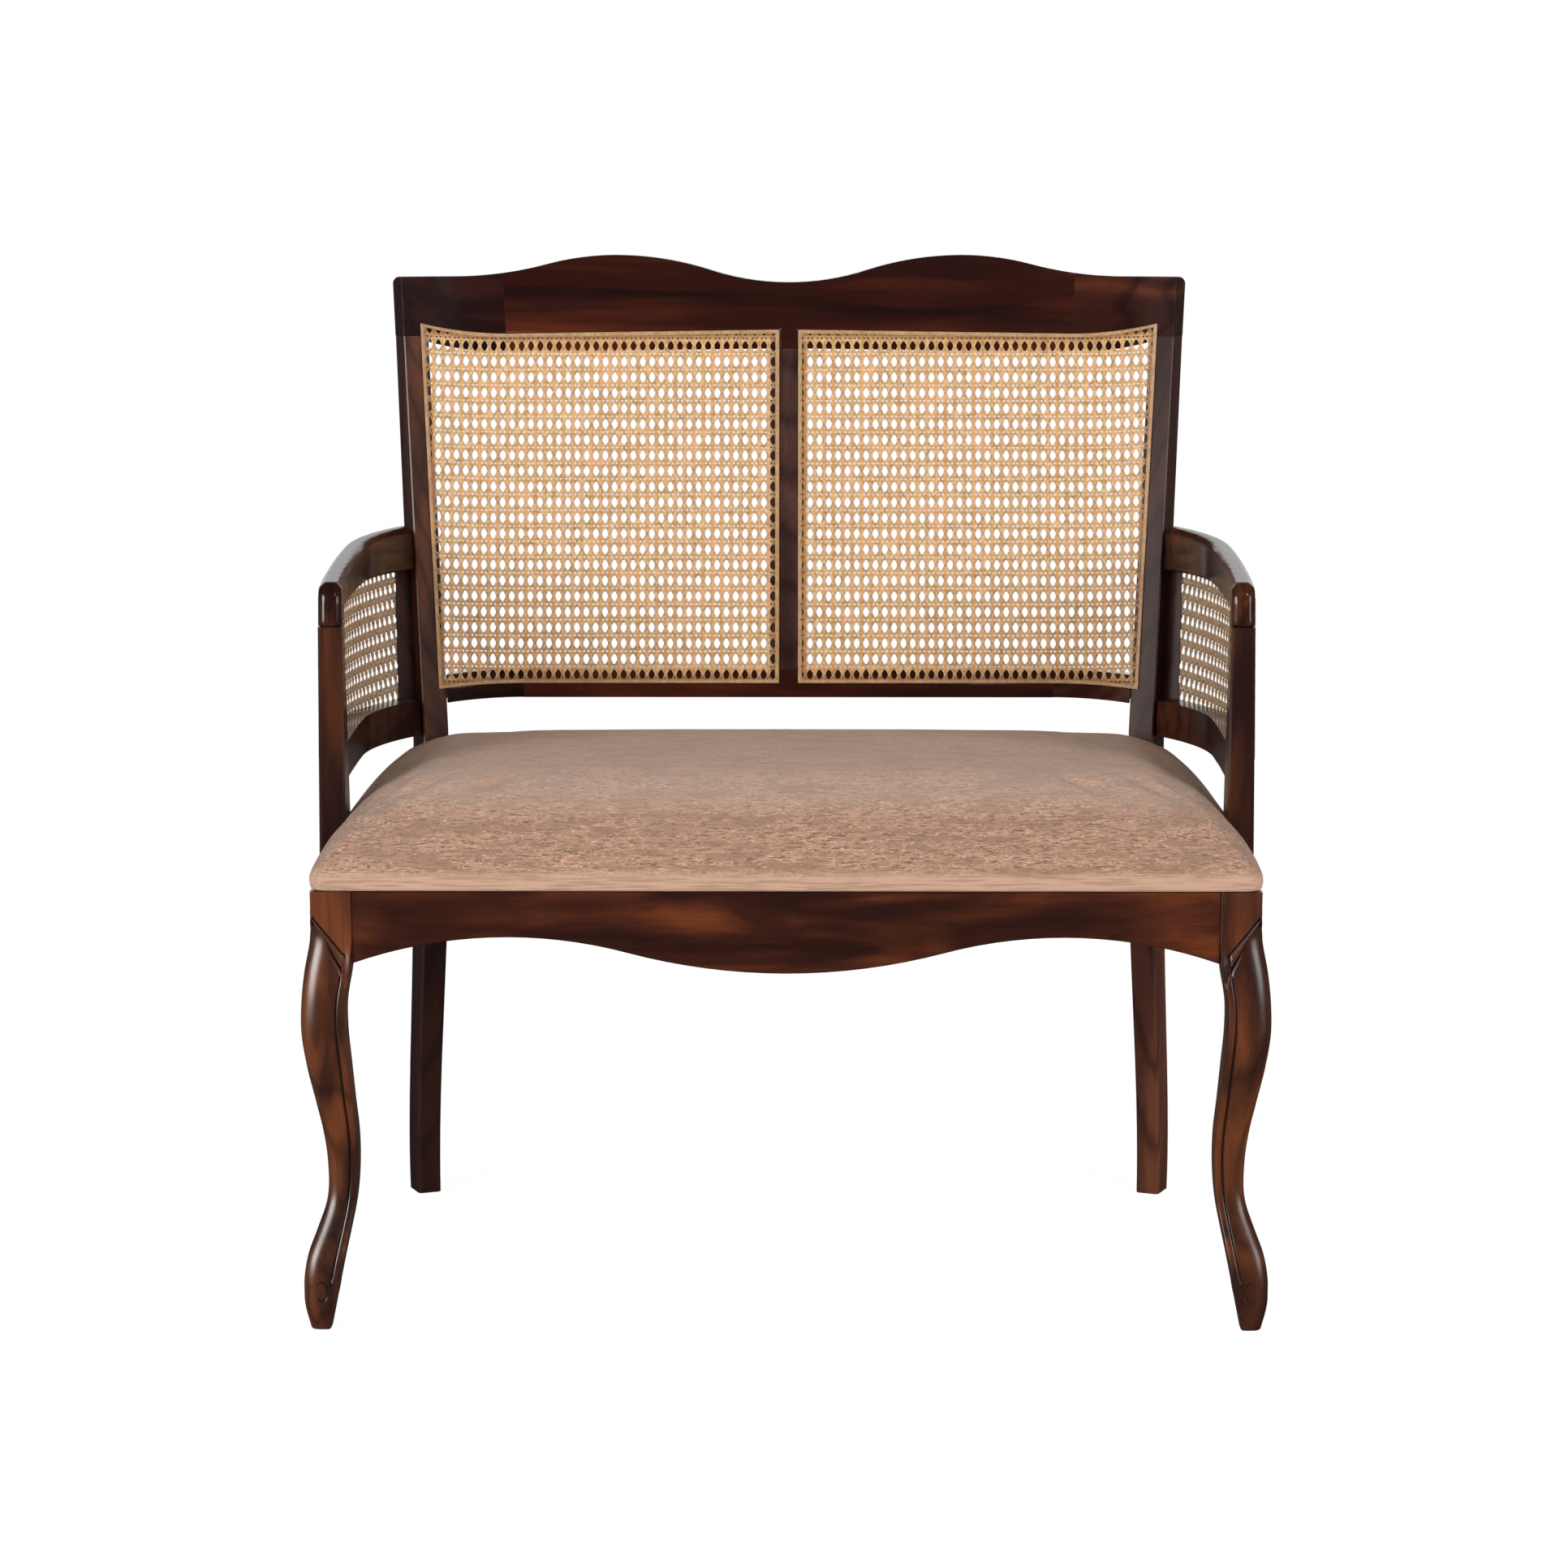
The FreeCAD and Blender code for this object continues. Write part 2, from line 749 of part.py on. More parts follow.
def back_ring(inset_out, inset_in, front, back):
    """Frame-shaped slab between two inset outlines of the back panel."""
    ring = through_front(panel_outline(inset_out)).cut(through_front(panel_outline(inset_in)))
    return back_layer(front, back, low_end, high_end).common(ring)


def back_spline():
    return largest(back_ring(0, spline_width, -spline_proud, spline_depth - spline_clearance))


def back_groove():
    return back_ring(-spline_clearance, spline_width + spline_clearance, -overrun / 2, spline_depth)


def opening_grid(point, across, up):
    """Corners of evenly spaced openings, from a function of the shares across and up."""
    margin = (1 - opening_share) / 2
    grid = []
    for column in range(across):
        near, far = (column + margin) / across, (column + 1 - margin) / across
        for row in range(up):
            low, high = (row + margin) / up, (row + 1 - margin) / up
            grid.append([point(near, low), point(near, high), point(far, high), point(far, low)])
    return grid


def back_cane():
    inset = spline_width + spline_clearance
    low = panel_bottom_z + inset
    high = panel_top_joint_z - inset
    right_x = -panel_mid_lap - inset
    side = (panel_stile_lap - inset) * math.cos(turn)
    flat_share = 1 - back_openings_in_wing / back_openings_across

    def place(across, up):
        """Even columns on the flat middle, then even ones along the wing's rulings."""
        z = low + (high - low) * up
        if across <= flat_share:
            return front_point(right_x + (joint_x(z) - right_x) * across / flat_share, z)
        rest = (across - flat_share) / (1 - flat_share)
        return front_point(joint_x(z) + (stile_inner_x(z) - side - joint_x(z)) * rest, z)

    openings = []
    for corners in opening_grid(place, back_openings_across, back_openings_up):
        openings.append(through_front(Part.makePolygon(corners + [corners[0]])))
    sheet = back_layer(-cane_thickness, 0, low_end, high_end).common(through_front(panel_outline(inset)))
    return largest(sheet.cut(openings))


# Arms: the band slants back as it rises, so that its rear end follows the leaning stile

arm_slant = math.tan(math.radians(arm_slant_deg))
arm_stretch = math.sqrt(1 + arm_slant ** 2)


def solve_bend_y():
    """Y where the arm's top starts to bend, so that its middle meets the stile's side."""
    meet = Vector(-stile_x, stile_y, 0) + lean_shift(arm_rear_top_z) + into_stile * arm_meet_depth
    radius = arm_bend_radius + arm_width / 2
    swing = math.acos(1 - (meet.x + arm_front_x + arm_bow + arm_width / 2) / radius)
    return meet.y - radius * math.sin(swing) * arm_stretch


arm_bend_y = solve_bend_y()
arm_bow_run = (arm_bend_y - arm_front_y) / arm_stretch
arm_bow_radius = (arm_bow_run ** 2 + arm_bow ** 2) / (2 * arm_bow)


def arm_bend_at(height):
    return arm_bend_y - arm_slant * (arm_rear_top_z - height)


def arm_band(inner, outer):
    """Bowed slanting band between two offsets of the left arm's inner face."""
    axis = Vector(0, arm_slant, 1).normalize()
    start = Vector(0, arm_bend_y, arm_low_bottom_z - overrun)
    bend = slide(Vector(0, arm_bend_y, arm_rear_top_z), axis, start)
    along = Vector(1, 0, 0).cross(axis).normalize() * -1
    bow_x = -arm_front_x - arm_bow

    def arc_points(radius, offset, swing):
        """Three points from the bend, to the front where the swing is less than zero."""
        points = []
        for share in (0, 1 / 2, 1):
            angle = abs(swing) * share
            out = Vector(bow_x - offset + radius * (1 - math.cos(angle)), 0, 0)
            points.append(bend + out + along * math.copysign(radius * math.sin(angle), swing))
        return points

    ends = []
    for offset in (inner, outer):
        front_radius = arm_bow_radius + offset
        front_swing = math.asin((arm_bow_run + overrun) / front_radius)
        rear_swing = math.asin((arm_rear_y + overrun - arm_bend_y) / (arm_bend_radius + arm_width + overrun))
        front = arc_points(front_radius, offset, -front_swing)
        rear = arc_points(arm_bend_radius + offset, offset, rear_swing)
        ends.append((front, rear))
    (inner_front, inner_rear), (outer_front, outer_rear) = ends
    wire = Part.Wire([
        Part.LineSegment(inner_front[-1], outer_front[-1]).toShape(),
        Part.Arc(*reversed(outer_front)).toShape(),
        Part.Arc(*outer_rear).toShape(),
        Part.LineSegment(outer_rear[-1], inner_rear[-1]).toShape(),
        Part.Arc(*reversed(inner_rear)).toShape(),
        Part.Arc(*inner_front).toShape(),
    ])
    rise = arm_rear_top_z - arm_low_bottom_z + 4 * overrun
    return Part.Face(wire).extrude(axis * rise)


def side_profile(points):
    """Solid swept right through from a closed outline in the YZ plane."""
    face = polygon_face(points)
    face.translate(Vector(-reach, 0, 0))
    return face.extrude(Vector(2 * reach, 0, 0))


def side_point(y, z):
    return Vector(0, y, z)


def arm_top_z(y):
    slope = (arm_rear_top_z - arm_front_top_z) / (arm_rear_y - arm_front_y)
    return arm_front_top_z + slope * (y - arm_front_y)


post_top_z = arm_bottom_z - arm_nose_drop
post_back_y = arm_front_y + (post_top_depth + post_foot_depth) / 2


def arm_rail():
    """Bowed arm rail with a rounded nose that drops over the arm post."""
    nose_top_y = arm_front_y + arm_nose_radius
    nose_top = side_point(nose_top_y, arm_top_z(nose_top_y))
    nose_center_z = nose_top.z - arm_nose_radius
    nose_front = side_point(arm_front_y, nose_center_z)
    bevel = arm_nose_radius * (1 - math.sqrt(1 / 2))
    nose_middle = side_point(arm_front_y + bevel, nose_center_z + arm_nose_radius - bevel)
    step_y = arm_front_y + post_top_depth
    end_y = arm_rear_y + arm_width
    edges = chain([
        nose_front,
        side_point(arm_front_y, post_top_z),
        side_point(step_y, post_top_z),
        side_point(step_y, arm_bottom_z),
        side_point(end_y, arm_bottom_z),
        side_point(end_y, arm_top_z(end_y)),
        nose_top,
    ])
    edges.append(Part.Arc(nose_top, nose_middle, nose_front).toShape())
    face = Part.Face(Part.Wire(edges))
    face.translate(Vector(-reach, 0, 0))
    rail = arm_band(0, arm_width)
    rail = rail.common(face.extrude(Vector(2 * reach, 0, 0)))
    rail = largest(rail.cut(beside_stile(True)))
    chosen = []
    for edge in rail.Edges:
        middle = edge.valueAt((edge.FirstParameter + edge.LastParameter) / 2)
        ends = [vertex.Point for vertex in edge.Vertexes]
        along = abs(ends[0].y - ends[-1].y)
        if middle.z > nose_center_z and along > arm_nose_radius / 2:
            chosen.append(edge)
    return largest(rail.makeChamfer(arm_edge_ease, chosen))


def arm_inner_x(y, height):
    """X of the left arm's inner face at y, on its front stretch."""
    away = (arm_bend_at(height) - y) / arm_stretch
    return -arm_front_x - arm_bow + arm_bow_radius - math.sqrt(arm_bow_radius ** 2 - away ** 2)


def arm_post():
    top_y = arm_front_y + post_top_depth
    top_front = arm_inner_x(arm_front_y, post_top_z)
    top_rear = arm_inner_x(top_y, post_top_z)
    top = [
        Vector(top_front - arm_width, arm_front_y, post_top_z),
        Vector(top_front, arm_front_y, post_top_z),
        Vector(top_rear, top_y, post_top_z),
        Vector(top_rear - arm_width, top_y, post_top_z),
    ]
    foot_outer = -frame_half_width - post_foot_flare
    foot_inner = foot_outer + post_foot_width
    foot_y = arm_front_y + post_foot_depth
    foot = [
        Vector(foot_outer, arm_front_y, rail_top_z),
        Vector(foot_inner, arm_front_y, rail_top_z),
        Vector(foot_inner, foot_y, rail_top_z),
        Vector(foot_outer, foot_y, rail_top_z),
    ]
    wires = [eased_wire(foot, post_corner_ease), eased_wire(top, post_corner_ease)]
    return Part.makeLoft(wires, True, True)


def arm_lower_rail(post):
    rail = arm_band(0, arm_width)
    box = Part.makeBox(reach, 2 * reach, arm_low_top_z - arm_low_bottom_z)
    box.translate(Vector(-reach, arm_front_y + post_top_depth / 2, arm_low_bottom_z))
    return largest(rail.common(box).cut(beside_stile(True)).cut(post))


def beside_region(near, far):
    """Leaning prism outside the left stile's outer face, between two depths of the stile."""
    base = Vector(-stile_x, stile_y, 0)
    corners = [
        base + into_stile * near,
        base + into_stile * near - along_stile * overrun,
        base + into_stile * far - along_stile * overrun,
        base + into_stile * far,
    ]
    low = lean_shift(0)
    high = lean_shift(crest_peak_z)
    face = polygon_face([corner + low + Vector(0, 0, stile_base_z) for corner in corners])
    return face.extrude(high - low)


def arm_upright():
    """Slip of wood on the stile's side that carries the rear edge of the arm's cane."""
    band = arm_band(0, arm_width)
    box = Part.makeBox(reach, 2 * reach, arm_bottom_z - arm_low_top_z)
    box.translate(Vector(-reach, 0, arm_low_top_z))
    return largest(band.common(box).common(beside_region(upright_setback, upright_setback + upright_depth)))


def arm_outline(inset):
    """Side view outline of the arm's cane panel, drawn in from its spline's outer edge."""
    front = post_back_y - arm_panel_end_lap + inset
    low = arm_low_top_z - arm_panel_lap + inset
    high = arm_bottom_z + arm_panel_lap - inset
    rear = stile_y + arm_panel_rear - inset
    return [
        side_point(front, low),
        side_point(front, high),
        side_point(rear + lean * (high - stile_base_z), high),
        side_point(rear + lean * (low - stile_base_z), low),
    ]


def arm_ring(inset_out, inset_in, inner, outer):
    ring = side_profile(arm_outline(inset_out)).cut(side_profile(arm_outline(inset_in)))
    return arm_band(inner, outer).common(ring)


def arm_spline():
    return largest(arm_ring(0, spline_width, arm_width - spline_depth + spline_clearance, arm_width + spline_proud))


def arm_groove():
    ring = arm_ring(-spline_clearance, spline_width + spline_clearance, arm_width - spline_depth, arm_width + overrun)
    inside = side_profile(arm_outline(0))
    return ring.fuse(arm_band(arm_width, arm_width + overrun).common(inside))


def arm_cane():
    outline = arm_outline(spline_width + spline_clearance)
    low_front, high_front, high_rear, low_rear = outline
    rise = high_rear.z - low_front.z
    run = high_rear.y - low_front.y - arm_slant * rise

    def place(along, up):
        """Columns that slant with the arm's band."""
        return low_front + Vector(0, run * along + arm_slant * rise * up, rise * up)

    openings = [side_profile(corners) for corners in opening_grid(place, arm_openings_along, arm_openings_up)]
    return largest(arm_band(arm_width, arm_width + cane_thickness).common(side_profile(outline)).cut(openings))


# Seat rails and the pieces hidden under the seat

def side_rail(leg):
    start_y = block_width
    end_y = rear_rail_y + rail_thickness - seat_rear_inset
    center_x = -frame_half_width + side_bend_radius
    swing = math.asin((end_y - side_bend_y) / side_bend_radius)
    bottom = rail_top_z - rail_height

    def arc_point(radius, share):
        angle = swing * share
        return Vector(center_x - radius * math.cos(angle), side_bend_y + radius * math.sin(angle), bottom)

    outer = side_bend_radius
    inner = side_bend_radius - rail_thickness
    outer_start = Vector(-frame_half_width, start_y, bottom)
    inner_start = Vector(-frame_half_width + rail_thickness, start_y, bottom)
    edges = [
        Part.LineSegment(outer_start, arc_point(outer, 0)).toShape(),
        Part.Arc(arc_point(outer, 0), arc_point(outer, 1 / 2), arc_point(outer, 1)).toShape(),
        Part.LineSegment(arc_point(outer, 1), arc_point(inner, 1)).toShape(),
        Part.Arc(arc_point(inner, 1), arc_point(inner, 1 / 2), arc_point(inner, 0)).toShape(),
        Part.LineSegment(arc_point(inner, 0), inner_start).toShape(),
        Part.LineSegment(inner_start, outer_start).toShape(),
    ]
    rail = Part.Face(Part.Wire(edges)).extrude(Vector(0, 0, rail_height))
    return largest(rail.cut(leg))


def rear_rail(leg, other_leg):
    half = stile_x
    rail = Part.makeBox(2 * half, rail_thickness, rail_height)
    rail.translate(Vector(-half, rear_rail_y, rail_top_z - rail_height))
    return largest(rail.cut(leg).cut(other_leg))


def cross_rail():
    front = apron_setback + rail_thickness
    rail = Part.makeBox(cross_rail_width, rear_rail_y - front, cross_rail_height)
    rail.translate(Vector(-cross_rail_width / 2, front, rail_top_z - cross_rail_height))
    return rail


block_top_z = rail_top_z - corner_block_drop
block_x = -frame_half_width + rail_thickness
block_y = apron_setback + rail_thickness


def front_corner_block():
    bottom = block_top_z - corner_block_height
    leg_side = block_width - rail_thickness
    leg_front = block_width - apron_setback - rail_thickness
    face = polygon_face([
        Vector(block_x + leg_side, block_y, bottom),
        Vector(block_x + corner_block_leg, block_y, bottom),
        Vector(block_x, block_y + corner_block_leg, bottom),
        Vector(block_x, block_y + leg_front, bottom),
        Vector(block_x + leg_side, block_y + leg_front, bottom),
    ])
    return face.extrude(Vector(0, 0, corner_block_height))


def rear_corner_block(leg, rail):
    bottom = block_top_z - corner_block_height
    face = polygon_face([
        Vector(block_x, rear_rail_y, bottom),
        Vector(block_x + rear_block_width, rear_rail_y, bottom),
        Vector(block_x, rear_rail_y - corner_block_leg, bottom),
    ])
    return largest(face.extrude(Vector(0, 0, corner_block_height)).cut(rail).cut(leg))


# Screws, each with the bore that takes it

def screw_and_bore(head_point, axis, length):
    """Screw driven from its head along the axis, and the hole that takes its shank."""
    step = Vector(axis).normalize()
    head = Part.makeCylinder(screw_head_radius, screw_head_height, head_point - step * screw_head_height, step)
    shank = Part.makeCylinder(screw_radius, length, head_point, step)
    bore = Part.makeCylinder(screw_radius + screw_clearance, length + screw_end_gap, head_point, step)
    return largest(head.fuse(shank).removeSplitter()), bore


def seat_screws():
    """Screws up through the left corner blocks into the seat board."""
    pairs = []
    inward = corner_block_leg * seat_screw_share
    head_z = block_top_z - corner_block_height
    length = rail_top_z + cover_thickness + board_thickness - screw_bite_gap - head_z
    for x, y in (
        (block_x + inward, block_y + inward),
        (block_x + rear_block_width * seat_screw_share, rear_rail_y - inward),
    ):
        pairs.append(screw_and_bore(Vector(x, y, head_z), Vector(0, 0, 1), length))
    return pairs


# Tenons: each is a block on one piece, let into the other with a little clearance

def left_tenons():
    """(piece with the tenon, piece with the mortise, centre, sizes, turn, lean) for the left half."""
    rows = []
    front_y = apron_setback + rail_thickness / 2
    middle_z = rail_top_z - rail_height / 2
    rail_sizes = (2 * rail_tenon_length, tenon_thickness, rail_tenon_height)
    corner = Vector(-frame_half_width + block_width, front_y, middle_z)
    rows.append(("front_rail", "front_leg_left", corner, rail_sizes, 0, Vector(0, 0, 1)))
    quarter = math.pi / 2
    side = Vector(-frame_half_width + rail_thickness / 2, block_width, middle_z)
    rows.append(("side_rail_left", "front_leg_left", side, rail_sizes, quarter, Vector(0, 0, 1)))
    base = Vector(-stile_x, stile_y, 0)
    swing = math.asin((stile_y + stile_depth / 2 - side_bend_y) / side_bend_radius)
    rear_sizes = (2 * rear_tenon_length, tenon_thickness, rail_tenon_height / 2)
    high = Vector(0, 0, rail_top_z - tenon_shoulder - rail_tenon_height / 4)
    low = Vector(0, 0, rail_top_z - rail_height + tenon_shoulder + rail_tenon_height / 4)
    outer = base + into_stile * (stile_depth / 2) + high
    rows.append(("side_rail_left", "rear_leg_left", outer, rear_sizes, quarter - swing, Vector(0, 0, 1)))
    inner = base + along_stile * stile_width + into_stile * (stile_depth / 2)
    inner = Vector(inner.x, rear_rail_y + rail_thickness / 2, 0) + low
    rows.append(("rear_rail", "rear_leg_left", inner, rear_sizes, 0, Vector(0, 0, 1)))
    leaning = lean_shift(crest_peak_z) - lean_shift(0)
    joint_z = (crest_bottom_joint_z + joint_top_z) / 2
    for owner, other, z, thickness, height in (
        ("crest_center", "crest_wing_left", joint_z, crest_thickness, crest_tenon_height),
        ("lower_back_rail_center", "lower_back_rail_wing_left",
         lower_rail_bottom_z + back_rail_thickness / 2, back_rail_thickness, low_tenon_height),
    ):
        center = Vector(joint_x(z), back_y + lean * (z - stile_base_z) + thickness / 2, z)
        rows.append((owner, other, center, (2 * tenon_length, tenon_thickness, height), 0, leaning))
    middle = base + along_stile * (stile_width / 2) + into_stile * (stile_top_depth / 2)
    top = middle + lean_shift(stile_shoulder_z) + Vector(0, 0, stile_base_z)
    rows.append(("rear_leg_left", "crest_wing_left", top, (stile_width / 2, tenon_length, 2 * tenon_length), turn, leaning))
    z = lower_rail_bottom_z - lower_rail_end_drop + back_rail_thickness / 2
    inner = base + along_stile * stile_width + into_stile * (back_rail_thickness / 2)
    inner = inner + lean_shift(z) + Vector(0, 0, stile_base_z)
    low_sizes = (2 * tenon_length, tenon_thickness, low_tenon_height)
    rows.append(("lower_back_rail_wing_left", "rear_leg_left", inner, low_sizes, turn, leaning))
    post_y = arm_front_y + post_top_depth / 2
    post_x = arm_inner_x(post_y, post_top_z) - arm_width / 2
    post_sizes = (tenon_thickness, 2 * tenon_length, 2 * tenon_length)
    top = Vector(post_x, post_y, post_top_z)
    rows.append(("arm_post_left", "arm_rail_left", top, post_sizes, 0, Vector(0, 0, 1)))
    foot = Vector(-frame_half_width + rail_thickness / 2, post_y, rail_top_z)
    rows.append(("arm_post_left", "side_rail_left", foot, post_sizes, 0, Vector(0, 0, 1)))
    low_z = (arm_low_bottom_z + arm_low_top_z) / 2
    front = Vector(arm_inner_x(post_back_y, low_z) - arm_width / 2, post_back_y, low_z)
    arm_sizes = (2 * tenon_length, tenon_thickness, low_tenon_height)
    rows.append(("arm_lower_rail_left", "arm_post_left", front, arm_sizes, quarter, Vector(0, 0, 1)))
    swing = math.asin((arm_rear_y - arm_bend_y) / (arm_bend_radius + arm_width))
    for owner, z in (("arm_lower_rail_left", low_z), ("arm_rail_left", (arm_bottom_z + arm_rear_top_z) / 2)):
        center = base + lean_shift(z) + Vector(0, 0, stile_base_z) + into_stile * arm_foot_depth
        rows.append((owner, "rear_leg_left", center, arm_sizes, quarter - swing, Vector(0, 0, 1)))
    return rows


def other_side(name):
    return name.replace("_left", "_right")


def join(parts, rows):
    """Put each tenon on its piece and cut its mortise in the neighbour, left and right."""
    for owner, other, center, sizes, turned, leaning in rows:
        body = block(center, sizes, turned, leaning)
        room = block(center, [size + 2 * tenon_clearance for size in sizes], turned, leaning)
        parts[owner] = largest(parts[owner].fuse(body).removeSplitter())
        parts[other] = largest(parts[other].cut(room))
        if owner == other_side(owner):
            parts[owner] = largest(parts[owner].fuse(mirror(body)).removeSplitter())


# Upholstered seat

seat_half = frame_half_width + seat_overhang
seat_rear = rear_rail_y + rail_thickness - seat_rear_inset
border_top = rail_top_z + seat_border_height


def seat_ends(x, grow):
    """Front and rear ends of the pad at a distance from the middle."""
    half = seat_half - grow
    radius = seat_front_corner_radius
    front = grow - seat_front_proud
    beyond = x - (half - radius)
    if beyond > 0:
        front = front + radius - math.sqrt(max(0, radius ** 2 - beyond ** 2))
    bend_radius = side_bend_radius + seat_overhang - grow
    beyond = x - (half - bend_radius)
    rear = side_bend_y + math.sqrt(max(0, bend_radius ** 2 - beyond ** 2))
    return front, min(rear, seat_rear - grow)


def seat_section(x, side, rise_share, grow):
    front, rear = seat_ends(x, grow)
    depth = rear - front
    low = rail_top_z + grow
    rim = border_top - grow
    points = [Vector(side * x, front, low)]
    for place, rise in seat_depth_shares:
        points.append(Vector(side * x, front + depth * place, rim + seat_crown * rise_share * rise))
    points.append(Vector(side * x, rear, low))
    return points


def seat_form(grow):
    """Crowned pad in flat facets, smaller by the given wall on every side."""
    rows = []
    for place, rise in seat_side_shares:
        rows.append(((seat_half - grow) * (1 - place), rise))
    sections = [seat_section(x, -1, rise, grow) for x, rise in rows]
    sections += [seat_section(x, 1, rise, grow) for x, rise in reversed(rows[:-1])]
    facets = [polygon_face(sections[0]), polygon_face(sections[-1])]
    for near, far in zip(sections, sections[1:]):
        for index in range(len(near)):
            after = (index + 1) % len(near)
            corners = [near[index], near[after], far[after], far[index]]
            if near[after].z + far[index].z > near[index].z + far[after].z:
                corners = corners[1:] + corners[:1]
            facets.append(polygon_face([corners[0], corners[1], corners[2]]))
            facets.append(polygon_face([corners[0], corners[2], corners[3]]))
    return Part.makeSolid(Part.makeShell(facets)).removeSplitter()


def seat_notches(wall):
    """Spaces for the left arm post and rear leg, larger by the given wall."""
    gap = notch_clearance + wall
    depth = post_foot_depth + 2 * gap
    inner = -frame_half_width - post_foot_flare + post_foot_width + gap
    post = Part.makeBox(reach, depth, reach)
    post.translate(Vector(inner - reach, arm_front_y - gap, rail_top_z - overrun))
    base = Vector(-stile_x, stile_y, rail_top_z) + along_stile * (stile_width / 2) + into_stile * (stile_depth / 2)
    width = stile_width + 2 * gap
    depth = stile_depth + 2 * gap
    rise = 2 * (seat_crown + seat_border_height)
    return post.fuse(block(base - Vector(0, notch_clearance, 0), (width, depth, rise), turn))


def seat_plan(inset, low, height):
    """Prism with the pad's plan, drawn in by the inset."""
    half = seat_half - inset
    front = inset - seat_front_proud
    rear = seat_rear - inset
    radius = side_bend_radius + seat_overhang - inset
    center_x = half - radius
    swing = math.asin((rear - side_bend_y) / radius)

    def arc_point(side, share):
        angle = swing * share
        return Vector(side * (center_x + radius * math.cos(angle)), side_bend_y + radius * math.sin(angle), low)

    edges = chain([
        arc_point(-1, 0),
        Vector(-half, front, low),
        Vector(half, front, low),
        arc_point(1, 0),
    ])
    edges.append(Part.Arc(arc_point(1, 0), arc_point(1, 1 / 2), arc_point(1, 1)).toShape())
    edges += chain([arc_point(1, 1), arc_point(-1, 1)])
    edges.append(Part.Arc(arc_point(-1, 1), arc_point(-1, 1 / 2), arc_point(-1, 0)).toShape())
    return Part.Face(Part.Wire(edges)).extrude(Vector(0, 0, height))


def notched(shape, wall):
    notch = seat_notches(wall)
    return largest(shape.cut(notch).cut(mirror(notch)))


def seat_pieces():
    inner = notched(seat_form(cover_thickness), cover_thickness)
    outer = notched(seat_form(0), 0)
    cover = largest(outer.cut(inner).cut(seat_plan(cover_hem, rail_top_z - overrun, overrun + cover_thickness)))
    low = rail_top_z + cover_thickness
    board = notched(seat_plan(board_inset, low, board_thickness), cover_thickness)
    top = low + board_thickness
    slab = Part.makeBox(2 * reach, 2 * reach, seat_crown + seat_border_height)
    slab.translate(Vector(-reach, -overrun, top))
    foam = largest(inner.common(slab))
    return cover, foam, board


# Assembly

def cut_all(shape, tools):
    for tool in tools:
        if shape.BoundBox.intersect(tool.BoundBox):
            shape = shape.cut(tool)
    return largest(shape)


parts = {}
leg_body = rear_leg()
parts["front_leg_left"] = front_leg()
parts["rear_leg_left"] = leg_body
parts["front_rail"] = front_rail()
parts["side_rail_left"] = side_rail(leg_body)
parts["rear_rail"] = rear_rail(leg_body, mirror(leg_body))
parts["cross_rail"] = cross_rail()
parts["crest_center"], parts["crest_wing_left"] = crest_pieces()
parts["lower_back_rail_center"], parts["lower_back_rail_wing_left"] = lower_rail_pieces()
parts["center_stile"] = center_stile()
parts["back_cane_left"] = back_cane()
parts["back_spline_left"] = back_spline()
parts["arm_rail_left"] = arm_rail()
parts["arm_post_left"] = arm_post()
parts["arm_lower_rail_left"] = arm_lower_rail(parts["arm_post_left"])
parts["arm_upright_left"] = arm_upright()
parts["arm_cane_left"] = arm_cane()
parts["arm_spline_left"] = arm_spline()
parts["seat_cover"], parts["seat_foam"], parts["seat_board"] = seat_pieces()
blocks = [front_corner_block(), rear_corner_block(leg_body, parts["side_rail_left"])]

back_cut = back_groove()
arm_cut = arm_groove()
mortises = tenons(tenon_clearance)
for name in ("crest_wing_left", "rear_leg_left", "lower_back_rail_wing_left"):
    parts[name] = cut_all(parts[name], [back_cut])
for name in ("crest_center", "lower_back_rail_center", "center_stile"):
    parts[name] = cut_all(parts[name], [back_cut, mirror(back_cut)])
for name in ("crest_center", "lower_back_rail_center"):
    parts[name] = cut_all(parts[name], [mortises])
for name in ("arm_rail_left", "arm_post_left", "arm_lower_rail_left", "arm_upright_left"):
    parts[name] = cut_all(parts[name], [arm_cut])
join(parts, left_tenons())

board_screws = seat_screws()
board_screws += [(mirror(body), mirror(bore)) for body, bore in board_screws]
bores = [bore for body, bore in board_screws]
parts["seat_board"] = cut_all(parts["seat_board"], bores)
blocks = [cut_all(piece, bores) for piece in blocks]
blocks += [mirror(piece) for piece in blocks]

for name in [name for name in parts if name != other_side(name)]:
    parts[other_side(name)] = mirror(parts[name])
parts["corner_blocks"] = Part.makeCompound(blocks)
parts["seat_screws"] = Part.makeCompound([body for body, bore in board_screws])

front_box = parts["front_leg_left"].optimalBoundingBox(False)
rear_box = parts["crest_center"].optimalBoundingBox(False)
origin = Vector(0, (front_box.YMin + rear_box.YMax) / 2, 0)

os.makedirs("parts", exist_ok=True)
for name, shape in sorted(parts.items()):
    shape.translate(-origin)
    print(name, len(shape.Solids), shape.isValid(), round(shape.Volume))
    shape.exportStep("parts/" + name + ".step")
print("moved by", round(-origin.y, 3))
print("overall", round(-2 * front_box.XMin, 2), round(rear_box.YMax - front_box.YMin, 2), round(crest_peak_z, 2))
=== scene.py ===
import math

import bmesh
import bpy
import numpy as np
from mathutils import Matrix, Vector


